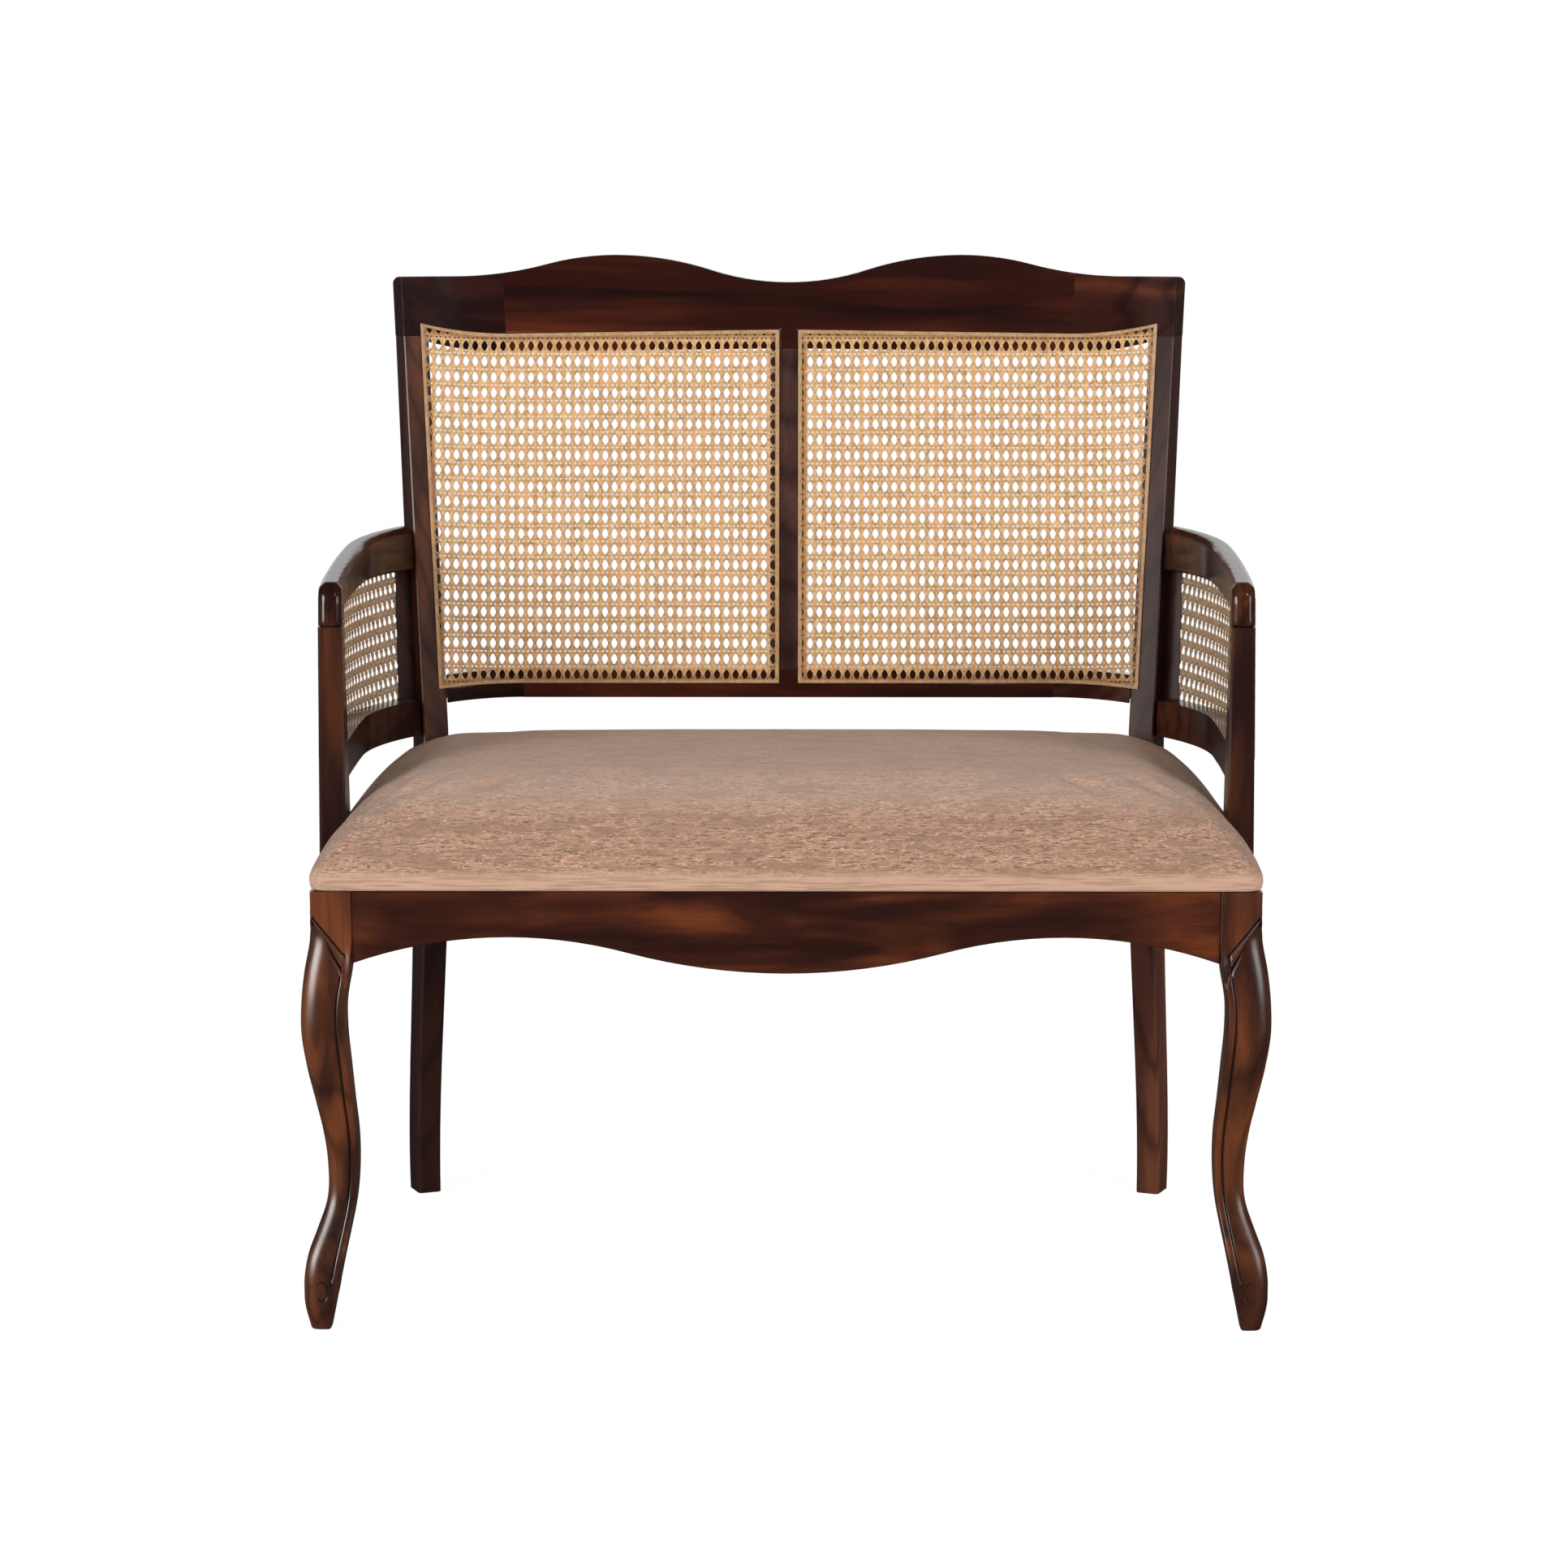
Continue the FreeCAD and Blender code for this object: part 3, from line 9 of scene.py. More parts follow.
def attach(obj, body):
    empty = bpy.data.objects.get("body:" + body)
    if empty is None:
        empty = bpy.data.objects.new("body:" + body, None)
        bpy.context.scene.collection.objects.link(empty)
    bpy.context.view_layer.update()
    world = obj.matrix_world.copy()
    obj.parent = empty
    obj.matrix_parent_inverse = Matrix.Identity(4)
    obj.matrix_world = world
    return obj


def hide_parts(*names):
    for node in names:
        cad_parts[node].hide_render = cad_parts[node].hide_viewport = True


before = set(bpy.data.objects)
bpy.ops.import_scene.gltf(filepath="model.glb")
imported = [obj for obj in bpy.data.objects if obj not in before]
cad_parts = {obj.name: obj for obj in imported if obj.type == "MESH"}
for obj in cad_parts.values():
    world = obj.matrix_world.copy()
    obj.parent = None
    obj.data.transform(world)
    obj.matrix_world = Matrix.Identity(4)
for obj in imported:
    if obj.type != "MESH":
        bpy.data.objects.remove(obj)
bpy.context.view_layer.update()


# Studio
# The sofa stands on a white sweep. Two large soft lamps light it from the front, three boxes of light
# give the lacquer its highlights, and the dark room behind the camera keeps front faces deep.

camera_tilt_deg = 8.31
camera_turn_deg = 0.33


def new_object(name, data):
    """An object that is in the scene."""
    made = bpy.data.objects.new(name, data)
    bpy.context.scene.collection.objects.link(made)
    return made


camera = bpy.data.cameras.new("camera")
camera.sensor_width = 36.0
camera.lens = 93.168
camera_object = new_object("camera", camera)
camera_object.location = (0.019, -3.880, 1.024)
camera_object.rotation_euler = (math.radians(90 - camera_tilt_deg), 0, math.radians(camera_turn_deg))
bpy.context.scene.camera = camera_object
bpy.context.scene.view_settings.view_transform = "Standard"


def softbox(name, place, aim_z, width, height, power, mirrored=False):
    """A lamp that only lights surfaces, or one that only shows in the lacquer."""
    lamp = bpy.data.lights.new(name, "AREA")
    lamp.shape = "RECTANGLE"
    lamp.size = width
    lamp.size_y = height
    lamp.energy = power
    lamp_object = new_object(name, lamp)
    lamp_object.location = place
    aim = Vector((0, 0, aim_z)) - Vector(place)
    lamp_object.rotation_euler = aim.to_track_quat("-Z", "Y").to_euler()
    lamp_object.visible_glossy = mirrored
    lamp_object.visible_diffuse = not mirrored


softbox("lamp_left", (-2.3, -2.6, 1.5), 0.45, 1.0, 1.4, 62.0)
softbox("lamp_right", (2.3, -2.6, 1.5), 0.45, 1.0, 1.4, 54.0)
softbox("box_left", (-2.65, -1.35, 1.0), 0.4, 1.7, 1.3, 88.0, True)
softbox("box_right", (1.5, -2.6, 2.9), 0.6, 0.5, 0.8, 14.0, True)
softbox("box_far_right", (2.6, -1.2, 0.95), 0.4, 1.2, 1.2, 26.0, True)


def feed(node, *sources, **values):
    """Give a node its properties and inputs by name, with _ for a space, and its first inputs in
    their order. An input takes a value, or a socket that is linked to it."""
    given = []
    for name, value in values.items():
        socket_name = name.replace("_", " ")
        if socket_name in node.inputs:
            given.append((node.inputs[socket_name], value))
        else:
            setattr(node, name, value)
    for socket, value in given + list(zip(node.inputs, sources)):
        if isinstance(value, bpy.types.NodeSocket):
            node.id_data.links.new(value, socket)
        else:
            socket.default_value = value
    return node


def add_node(tree, kind, *sources, **values):
    return feed(tree.nodes.new(kind), *sources, **values)


def compute(tree, operation, *values):
    """A sum, product or the like of values and sockets."""
    return add_node(tree, "ShaderNodeMath", *values, operation=operation).outputs[0]


def map_range(tree, value, low, high, start=0.0, end=1.0, soft=False):
    """The value from low to high as one from start to end, with soft ends or without."""
    ends = "SMOOTHSTEP" if soft else "LINEAR"
    node = add_node(tree, "ShaderNodeMapRange", value, low, high, start, end, interpolation_type=ends)
    return node.outputs["Result"]


def mix_shaders(tree, factor, first, second):
    return add_node(tree, "ShaderNodeMixShader", factor, first, second).outputs[0]


white = (1, 1, 1, 1)
ambient_level = 0.40
dark_room_level = 0.02
bright_room_level = 0.85

world = bpy.data.worlds.new("studio")
bpy.context.scene.world = world
world.use_nodes = True
sky = world.node_tree
sky.nodes.clear()
direction = add_node(sky, "ShaderNodeTexCoord").outputs["Generated"]
to_the_back = add_node(sky, "ShaderNodeSeparateXYZ", direction).outputs["Y"]
room_level = map_range(sky, to_the_back, 0.80, 0.99, dark_room_level, bright_room_level, soft=True)
seen = add_node(sky, "ShaderNodeBackground", Color=white, Strength=1.0).outputs[0]
room = add_node(sky, "ShaderNodeBackground", Color=white, Strength=room_level).outputs[0]
ambient = add_node(sky, "ShaderNodeBackground", Color=white, Strength=ambient_level).outputs[0]
rays = add_node(sky, "ShaderNodeLightPath").outputs
looked_at = compute(sky, "MAXIMUM", rays["Is Camera Ray"], rays["Is Transmission Ray"])
lit_by = mix_shaders(sky, rays["Is Glossy Ray"], ambient, room)
add_node(sky, "ShaderNodeOutputWorld", mix_shaders(sky, looked_at, lit_by, seen))

floor_half = 9.0
floor_white_share = 0.86
floor_in_lacquer = 0.04
floor_mesh = bpy.data.meshes.new("floor")
floor_corners = [(x * floor_half, y * floor_half, 0) for x, y in ((-1, -1), (1, -1), (1, 1), (-1, 1))]
floor_mesh.from_pydata(floor_corners, [], [(0, 1, 2, 3)])
floor = new_object("floor", floor_mesh)
floor_paint = bpy.data.materials.new("white_sweep")
floor_paint.use_nodes = True
paint = floor_paint.node_tree
paint.nodes.clear()
matte = add_node(paint, "ShaderNodeBsdfDiffuse", Color=(0.9, 0.9, 0.9, 1)).outputs[0]
glow = add_node(paint, "ShaderNodeEmission", Color=white, Strength=1.10).outputs[0]
in_lacquer = add_node(paint, "ShaderNodeEmission", Color=white, Strength=floor_in_lacquer).outputs[0]
rays = add_node(paint, "ShaderNodeLightPath").outputs
looked_at = compute(paint, "MAXIMUM", rays["Is Camera Ray"], rays["Is Transmission Ray"])
whitened = mix_shaders(paint, compute(paint, "MULTIPLY", looked_at, floor_white_share), matte, glow)
sweep = mix_shaders(paint, rays["Is Glossy Ray"], whitened, in_lacquer)
add_node(paint, "ShaderNodeOutputMaterial", sweep)
floor_mesh.materials.append(floor_paint)


# Lacquered wood
# A close-grained hardwood, stained dark red-brown and sprayed with gloss lacquer. The stain takes
# unevenly, so orange-brown sapwood shows between near-black veins along each piece's grain.

def add_sockets(tree, in_out, kind, *names):
    """Named inputs or outputs of a node group."""
    for name in names:
        tree.interface.new_socket(name, in_out=in_out, socket_type="NodeSocket" + kind)


def noise(tree, vector, scale, detail, roughness=0.5):
    node = add_node(tree, "ShaderNodeTexNoise", vector, Scale=scale, Detail=detail, Roughness=roughness)
    return node.outputs["Fac"]


def blend(tree, factor, first, second):
    """A mix of two colours, each a socket or three numbers."""
    first, second = ((*color, 1) if isinstance(color, tuple) else color for color in (first, second))
    node = add_node(tree, "ShaderNodeMix", data_type="RGBA", Factor=factor, A=first, B=second)
    return node.outputs["Result"]


def bumped(tree, height, strength, distance):
    """The normal of a surface with this height on it."""
    return add_node(tree, "ShaderNodeBump", Height=height, Strength=strength, Distance=distance).outputs[0]


def new_material(name):
    """A material, its tree, its shader and the piece's own coordinates."""
    material = bpy.data.materials.new(name)
    material.use_nodes = True
    tree = material.node_tree
    coordinates = add_node(tree, "ShaderNodeTexCoord").outputs["Object"]
    return material, tree, tree.nodes["Principled BSDF"], coordinates


def make_grain_group():
    """Stain that has taken in bands, thin dark veins, and fibres that run along X."""
    group = bpy.data.node_groups.new("stained_grain", "ShaderNodeTree")
    add_sockets(group, "INPUT", "Vector", "Vector")
    add_sockets(group, "INPUT", "Color", "Dark", "Light", "Vein")
    add_sockets(group, "INPUT", "Float", "Light Share", "Waviness", "Vein Strength")
    add_sockets(group, "OUTPUT", "Color", "Color")
    add_sockets(group, "OUTPUT", "Float", "Roughness", "Height")
    given = add_node(group, "NodeGroupInput").outputs
    vector = given["Vector"]

    bands = add_node(group, "ShaderNodeTexNoise", vector, Scale=1.0, Detail=4.0, Roughness=0.48,
                     Distortion=given["Waviness"]).outputs["Fac"]
    edge = compute(group, "SUBTRACT", 1.0, given["Light Share"])
    light_bands = map_range(group, compute(group, "SUBTRACT", bands, edge), -0.16, 0.16, soft=True)
    stain = blend(group, light_bands, given["Dark"], given["Light"])

    rings = add_node(group, "ShaderNodeTexWave", vector, wave_type="BANDS", bands_direction="Y", Scale=0.9,
                     Distortion=7.0, Detail=3.0, Detail_Scale=0.7).outputs["Fac"]
    vein = compute(group, "MULTIPLY", compute(group, "POWER", rings, 5.0), given["Vein Strength"])
    veined = blend(group, vein, stain, given["Vein"])

    finer = add_node(group, "ShaderNodeVectorMath", vector, (5.0, 26.0, 26.0), operation="MULTIPLY")
    fibres = noise(group, finer.outputs[0], 1.0, 3.0, 0.6)
    tone = map_range(group, fibres, 0.3, 0.7, 0.82, 1.15)
    color = add_node(group, "ShaderNodeVectorMath", veined, operation="SCALE", Scale=tone).outputs[0]
    height = compute(group, "ADD", bands, compute(group, "MULTIPLY", fibres, 0.12))
    roughness = map_range(group, bands, 0.0, 1.0, 0.26, 0.42)
    add_node(group, "NodeGroupOutput", Color=color, Roughness=roughness, Height=height)
    return group


stained_grain = make_grain_group()
grain_turns = {"X": (0, 0, 0), "Y": (0, 0, math.radians(-90)), "Z": (0, math.radians(90), 0)}


def lacquered(name, grain, dark, light, vein, light_share=0.5, waviness=0.6, vein_strength=0.5,
              along=3.0, across=24.0, place=(0, 0, 0), coat=1.0, haze=0.12, deep=None):
    """Lacquered wood with its grain along X, Y or Z. deep darkens it: an attribute that holds
    stain and painted shade, or the height where it is full, the height where it has gone, and its share."""
    material, tree, shader, coordinates = new_material(name)
    mapping = add_node(tree, "ShaderNodeMapping", coordinates, Location=place, Rotation=grain_turns[grain],
                       Scale=[along if axis == grain else across for axis in "XYZ"])
    pattern = add_node(tree, "ShaderNodeGroup", node_tree=stained_grain)
    feed(pattern, Vector=mapping.outputs[0], Dark=(*dark, 1), Light=(*light, 1), Vein=(*vein, 1),
         Light_Share=light_share, Waviness=waviness, Vein_Strength=vein_strength)
    color = pattern.outputs["Color"]
    if deep:
        if deep == "carved":
            darkest = add_node(tree, "ShaderNodeAttribute", attribute_name="carved").outputs["Fac"]
        else:
            height = add_node(tree, "ShaderNodeSeparateXYZ", coordinates).outputs["Z"]
            darkest = map_range(tree, height, *deep, 0.0, soft=True)
        color = blend(tree, darkest, color, (0.013, 0.0048, 0.0045))
    feed(shader, Base_Color=color, Roughness=pattern.outputs["Roughness"], Specular_IOR_Level=0.08,
         Coat_Weight=coat, Coat_Roughness=haze, Normal=bumped(tree, pattern.outputs["Height"], 0.35, 0.0006))
    return material


joining_distance = 2e-6
flat_angle = math.radians(0.6)
eased_angle = math.radians(30)


def new_piece(name, mesh, material):
    """An object with a smooth mesh in its finish."""
    mesh.polygons.foreach_set("use_smooth", [True] * len(mesh.polygons))
    mesh.materials.append(material)
    return new_object(name, mesh)


def joined_copy(name, node, ease, material, segments=2, flush=None):
    """A copy of a solid with its loose faces joined, its edges eased and its finish on."""
    form = bmesh.new()
    form.from_mesh(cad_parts[node].data)
    bmesh.ops.remove_doubles(form, verts=form.verts, dist=joining_distance)
    bmesh.ops.dissolve_limit(form, angle_limit=flat_angle, verts=form.verts, edges=form.edges)
    form.verts.ensure_lookup_table()
    form.verts.index_update()
    places = [vertex.co.copy() for vertex in form.verts]
    faces = [[vertex.index for vertex in face.verts] for face in form.faces]
    form.free()
    mesh = bpy.data.meshes.new(name)
    mesh.from_pydata(places, [], faces)
    piece = new_piece(name, mesh, material)
    bevel = piece.modifiers.new("eased", "BEVEL")
    bevel.width = ease
    bevel.segments = segments
    bevel.limit_method = "ANGLE"
    bevel.angle_limit = eased_angle
    bevel.harden_normals = True
    if flush:
        weights = mesh.attributes.new("bevel_weight_edge", "FLOAT", "EDGE")
        for edge in mesh.edges:
            unbroken = all(flush(mesh.vertices[index].co) for index in edge.vertices)
            weights.data[edge.index].value = 0.0 if unbroken else 1.0
            edge.use_edge_sharp = unbroken
        bevel.limit_method = "WEIGHT"
    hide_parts(node)
    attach(piece, "root")
    return piece


def finish_node(node, material):
    """A solid that shows as it is, in its finish."""
    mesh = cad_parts[node].data
    mesh.materials.clear()
    mesh.materials.append(material)


# Front legs
# Each is one cabriole leg sawn from square stock, with the block that takes the rails left on top.
# A mitred shoulder, a bead, a long groove and a small oval ring are carved on its two outer faces.

frame_front_y = -0.29841
block_outer_x = -0.427
block_width = 0.037
block_bottom = 0.381
leg_top = 0.403
knee_bulge = 0.0105
block_ease = 0.0015
outer_ease = 0.0125
knee_ease = 0.0050
inner_ease = 0.0013
sole_share = 0.93
right_foot_stain = 0.6
leg_places = {"left": (3, 0, 0.35), "right": (3, 0.8, 0)}
# height up the leg, swell beyond the block's outer faces, width of the square section
leg_shares = (
    (0.000, 0.48, 0.50),
    (0.062, 1.00, 0.77),
    (0.113, 1.04, 0.88),
    (0.181, 0.66, 0.91),
    (0.239, -0.10, 0.82),
    (0.299, -0.83, 0.73),
    (0.394, -0.95, 0.775),
    (0.470, -0.64, 0.85),
    (0.541, -0.14, 0.925),
    (0.638, 0.57, 1.045),
    (0.722, 0.98, 1.095),
    (0.787, 0.95, 1.088),
    (0.864, 0.66, 1.125),
    (0.937, 0.19, 1.055),
    (1.000, 0.00, 1.00),
    (1.058, 0.00, 1.00),
)
# the shoulder slants down from the leg's outer corner, and a second line follows it lower down
shoulder_outer_z = 0.3875
shoulder_drop = 0.0494
shoulder_square_share = 0.68
shoulder_line = 0.0011
lower_line = 0.0096
# distance below the shoulder, and the depth carved there
shoulder_profile = (
    (0.0000, 0.0000),
    (0.0007, 0.0016),
    (0.0014, 0.0016),
    (0.0022, 0.0006),
    (0.0050, -0.0003),
    (0.0084, 0.0000),
)
lower_line_profile = (
    (0.0084, 0.0000),
    (0.0091, 0.0020),
    (0.0100, 0.0020),
    (0.0109, 0.0000),
    (0.0130, -0.0003),
    (0.0170, 0.0000),
)
groove_inset = 0.0072
groove_half_width = 0.0013
groove_depth = 0.0015
groove_end_z = 0.040
groove_full_z = 0.052
ring_center = (0.0175, 0.0365)
ring_half_width = 0.0052
ring_half_height = 0.0086
ring_line = 0.0010
ring_depth = 0.0007


def smooth_table(places, values, count=600):
    """Fine table of the smooth curve through the values."""
    places = np.array(places)
    values = np.array(values)
    slopes = np.gradient(values, places)
    fine = np.linspace(places[0], places[-1], count)
    index = np.clip(np.searchsorted(places, fine, side="right") - 1, 0, len(places) - 2)
    step = places[index + 1] - places[index]
    t = (fine - places[index]) / step
    curve = (
        values[index] * (2 * t**3 - 3 * t**2 + 1)
        + slopes[index] * step * (t**3 - 2 * t**2 + t)
        + values[index + 1] * (3 * t**2 - 2 * t**3)
        + slopes[index + 1] * step * (t**3 - t**2)
    )
    return fine, curve


leg_heights = [row[0] * block_bottom for row in leg_shares]
swell_table = smooth_table(leg_heights, [row[1] * knee_bulge for row in leg_shares])
width_table = smooth_table(leg_heights, [row[2] * block_width for row in leg_shares])
most_swell = max(row[1] for row in leg_shares) * knee_bulge


def read_table(place, table):
    return float(np.interp(place, *table))


def ramp(value, low, high):
    """0 below low, 1 above high, smooth between."""
    t = min(1.0, max(0.0, (value - low) / (high - low)))
    return t * t * (3 - 2 * t)


def near(distance, full, none):
    """1 up to a distance of full, 0 from none on, smooth between."""
    return 1 - ramp(abs(distance), full, none)


def groove_place(width):
    """Distance of the long groove from the leg's outer edge."""
    return width - min(groove_inset, 0.3 * width)


def carving(row_z, z, u, width):
    """Depth below the swollen face, and share of stain and painted shade, at a distance u from the outer
    edge.
    """
    swell = min(most_swell, read_table(z, swell_table))
    below = (shoulder_outer_z - row_z) * shoulder_square_share
    if below <= 0:
        return max(0.0, swell), 0.0
    from_groove = u - groove_place(width)
    ring_u = (u - ring_center[0]) / ring_half_width
    ring_v = (z - ring_center[1]) / ring_half_height
    off_ring = abs(math.hypot(ring_u, ring_v) - 1) * (ring_half_width + ring_half_height) / 2

    depth = swell * near(below, 0.0, 0.016) if swell > 0 else 0.0
    depth += read_table(below, zip(*shoulder_profile))
    depth += read_table(below, zip(*lower_line_profile)) * (1 - ramp(from_groove, -0.0004, 0.0010))
    if z > groove_end_z:
        fade = ramp(z, groove_end_z, groove_full_z) * ramp(below, 0.0086, 0.0100)
        depth = max(depth, groove_depth * max(0.0, 1 - abs(from_groove) / groove_half_width) * fade)
    depth += ring_depth * max(0.0, 1 - off_ring / ring_line)

    if below <= 0.0003:
        return depth, 0.0
    # The recessed band under the shoulder is darker, and the knee and ankle carry darker stain.
    knee = 0.5 if below < 0.0106 else 0.55 * near(below, 0.020, 0.062)
    ankle = 0.60 * ramp(z, 0.055, 0.078) * near(z, 0.105, 0.140)
    # Painted shade: the shoulder line and the oval ring's line are darkened where shade falls in the cuts.
    shoulder_line_shade = 0.95 * near(below - shoulder_line, 0.0005, 0.0013)
    ring_line_shade = 0.9 * near(off_ring, 0.0004, 0.0013)
    stain = max(knee, ankle, shoulder_line_shade, ring_line_shade)
    # Painted shade in the lower carved line, next to the groove.
    if from_groove < 0.0006:
        stain = max(stain, near(below - lower_line, 0.0007, 0.0014))
    # Painted shade along the long groove.
    if below > lower_line and z > groove_end_z:
        stain = max(stain, 0.80 * near(from_groove, 0.0008, 0.0020))
    return depth, stain


def leg_columns():
    """Places round the square section: face, share across it, or angle in a corner."""
    front = [("front", share) for share in np.linspace(0.0, 1.0, 26)]
    front += [("groove", offset) for offset in (-0.0012, -0.0006, 0.0, 0.0006, 0.0012, 0.0022)]
    side = [(kind + "_side", value) for kind, value in reversed(front)]
    angles = (0.0, 30.0, 60.0, 90.0)
    shares = (0.25, 0.5, 0.75)
    kinds = ("inner_front", "inner", "inner_back", "back", "outer_back")
    turns = [(kind, value) for kind, values in zip(kinds, (angles, shares) * 3) for value in values]
    big = [("corner", angle) for angle in np.linspace(0.0, 90.0, 15)[1:-1]]
    return front + turns + side + big


def leg_point(kind, value, row_z):
    """Place of a column at a row, and the share of stain and painted shade there."""
    sine = math.sin(math.radians(value))
    cosine = math.cos(math.radians(value))
    on_face = kind.startswith("front")
    in_groove = kind.startswith("groove")
    across = 1.0
    if on_face:
        across = 0.12 + 0.66 * value
    elif in_groove:
        across = 0.82 + value * 12
    elif kind == "corner":
        across = 0.12 * (1 - math.sin(math.radians(2 * value)))
    drop = shoulder_drop * min(ramp(row_z, 0.200, 0.356), 1 - ramp(row_z, 0.389, 0.403))
    z = row_z - drop * across
    swell = min(most_swell, read_table(z, swell_table))
    width = read_table(z, width_table)
    below = shoulder_outer_z - row_z
    big = block_ease + outer_ease * ramp(below, 0.0, 0.026)
    big += knee_ease * ramp(z, 0.230, 0.300) * ramp(below, 0.010, 0.036)
    big = min(big, 0.48 * width)
    small = block_ease + inner_ease * ramp(below, 0.0, 0.03)
    groove = groove_place(width)
    stain = 0.0
    if on_face or in_groove:
        u = groove + value if in_groove else big + (groove - 0.0016 - big) * value
        depth, stain = carving(row_z, z, u, width)
        place = (u, depth)
    elif kind == "corner":
        depth, stain = carving(row_z, z, big * max(0.3, 1 - max(sine, cosine)), width)
        place = (big - (big - depth) * cosine, big - (big - depth) * sine)
    elif kind == "inner":
        place = (width, width * value)
    elif kind == "back":
        place = (width * (1 - value), width)
    elif kind == "inner_back":
        place = (width - small + small * cosine, width - small + small * sine)
    else:
        depth = min(carving(row_z, z, width, width)[0], 0.8 * small)
        if kind == "inner_front":
            place = (width - small + small * sine, small - small * cosine + depth * cosine)
        else:
            place = (small - small * sine + depth * sine, width - small + small * cosine)
    if kind.endswith("_side"):
        place = (place[1], place[0])
    return (block_outer_x - swell + place[0], frame_front_y - swell + place[1], z), stain


def make_leg(foot_stain):
    """The left leg as a closed form, with its stain and the painted shade of its carved lines in an
    attribute.
    """
    rows = [0.0, 0.0012]
    rows += list(np.arange(0.004, 0.0235, 0.0035))
    rows += list(np.arange(0.0245, 0.0500, 0.0009))
    rows += list(np.arange(0.0530, 0.3580, 0.0050))
    rows += list(np.arange(0.3600, 0.3890, 0.0006))
    rows += [0.391, 0.393, 0.395, 0.397, 0.399, 0.401, leg_top]
    columns = leg_columns()
    form = bmesh.new()
    carved = form.verts.layers.float.new("carved")
    rings = []
    for row_z in rows:
        found = [leg_point(kind, value, row_z) for kind, value in columns]
        ring = [Vector(point) for point, stain in found]
        if not rings:
            middle = sum(ring, Vector()) / len(ring)
            ring = [middle + (point - middle) * sole_share for point in ring]
        rings.append([form.verts.new(point) for point in ring])
        for vertex, (point, stain) in zip(rings[-1], found):
            vertex[carved] = max(stain, foot_stain * near(point[2], 0.050, 0.085))
    for low, high in zip(rings, rings[1:]):
        for index in range(len(columns)):
            after = (index + 1) % len(columns)
            form.faces.new((low[index], low[after], high[after], high[index]))
    form.faces.new(list(reversed(rings[0])))
    form.faces.new(rings[-1])
    bmesh.ops.remove_doubles(form, verts=form.verts, dist=1e-6)
    bmesh.ops.recalc_face_normals(form, faces=form.faces)
    return form


def form_to_mesh(name, form):
    mesh = bpy.data.meshes.new(name)
    form.to_mesh(mesh)
    form.free()
    return mesh


def add_piece(name, form, material, node, sharp):
    """A piece from a bmesh, smooth but for edges sharper than the given angle."""
    mesh = form_to_mesh(name, form)
    piece = new_piece(name, mesh, material)
    mesh.set_sharp_from_angle(angle=math.radians(sharp))
    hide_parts(node)
    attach(piece, "root")


def mirrored_form(form):
    """The same form on the other side of the middle plane."""
    other = form.copy()
    form.free()
    bmesh.ops.transform(other, matrix=Matrix.Scale(-1, 4, (1, 0, 0)), verts=other.verts)
    bmesh.ops.reverse_faces(other, faces=other.faces)
    return other


for side in ("left", "right"):
    leg_wood = lacquered("leg_wood_" + side, "Z", (0.040, 0.0105, 0.0048), (0.170, 0.043, 0.009),
                         (0.012, 0.004, 0.003), waviness=0.5, along=4.0, across=30.0,
                         place=leg_places[side], haze=0.30, deep="carved")
    leg_form = make_leg(0.0) if side == "left" else mirrored_form(make_leg(right_foot_stain))
    add_piece("cabriole_leg_" + side, leg_form, leg_wood, "front_leg_" + side, sharp=50)


# Rear legs
# Each is one piece from the floor to the crest: a sabre leg below the seat and a leaning stile
# above it, turned in plan to face the middle of the back, with softly eased arrises.

stile_looks = {
    "left": ((0.030, 0.0085, 0.006), (0.112, 0.032, 0.012), (0.40, 0.52, 0.75)),
    "right": ((0.080, 0.0250, 0.0150), (0.190, 0.060, 0.028), (0.52, 0.40, 0.74)),
}
stile_wood = {}
for side, (dark, light, deep) in stile_looks.items():
    stile_wood[side] = lacquered("stile_wood_" + side, "Z", dark, light, (0.010, 0.003, 0.003),
                                 light_share=0.47, waviness=0.4, along=2.6, across=34.0, coat=0.55,
                                 haze=0.30, deep=deep)
    joined_copy("rear_leg_and_stile_" + side, "rear_leg_" + side, 0.0012, stile_wood[side])


# Seat rails
# A serpentine front rail with a wavy figure, two side rails that bend in towards the back, and a
# plain rear rail, all tenoned into the legs. A cross rail and corner blocks of bare pine stiffen them.

apron_wood = lacquered("apron_wood", "X", (0.040, 0.0095, 0.0055), (0.135, 0.032, 0.0085),
                       (0.014, 0.004, 0.003), light_share=0.45, waviness=1.6, vein_strength=0.6, along=4.5,
                       across=22.0, place=(0.7, 2.2, 0))
rail_wood = lacquered("rail_wood", "Y", (0.022, 0.006, 0.0045), (0.080, 0.022, 0.008),
                      (0.012, 0.004, 0.003), light_share=0.48, waviness=0.5, vein_strength=0.6)
joined_copy("serpentine_apron", "front_rail", 0.0012, apron_wood)
for side in ("left", "right"):
    joined_copy("bent_side_rail_" + side, "side_rail_" + side, 0.0010, rail_wood)
joined_copy("plain_rear_rail", "rear_rail", 0.0010, apron_wood)

pine = lacquered("bare_pine", "X", (0.46, 0.29, 0.15), (0.60, 0.42, 0.24), (0.36, 0.20, 0.10),
                 light_share=0.6, waviness=0.4, along=4.0, across=60.0, coat=0.0)
for node in ("cross_rail", "corner_blocks"):
    finish_node(node, pine)


# Back frame
# The crest is three pieces: a wavy-topped centre and two hollowed wings that turn forward to the
# stiles. The lower rail is made the same way, and a flat centre stile is tenoned between them.

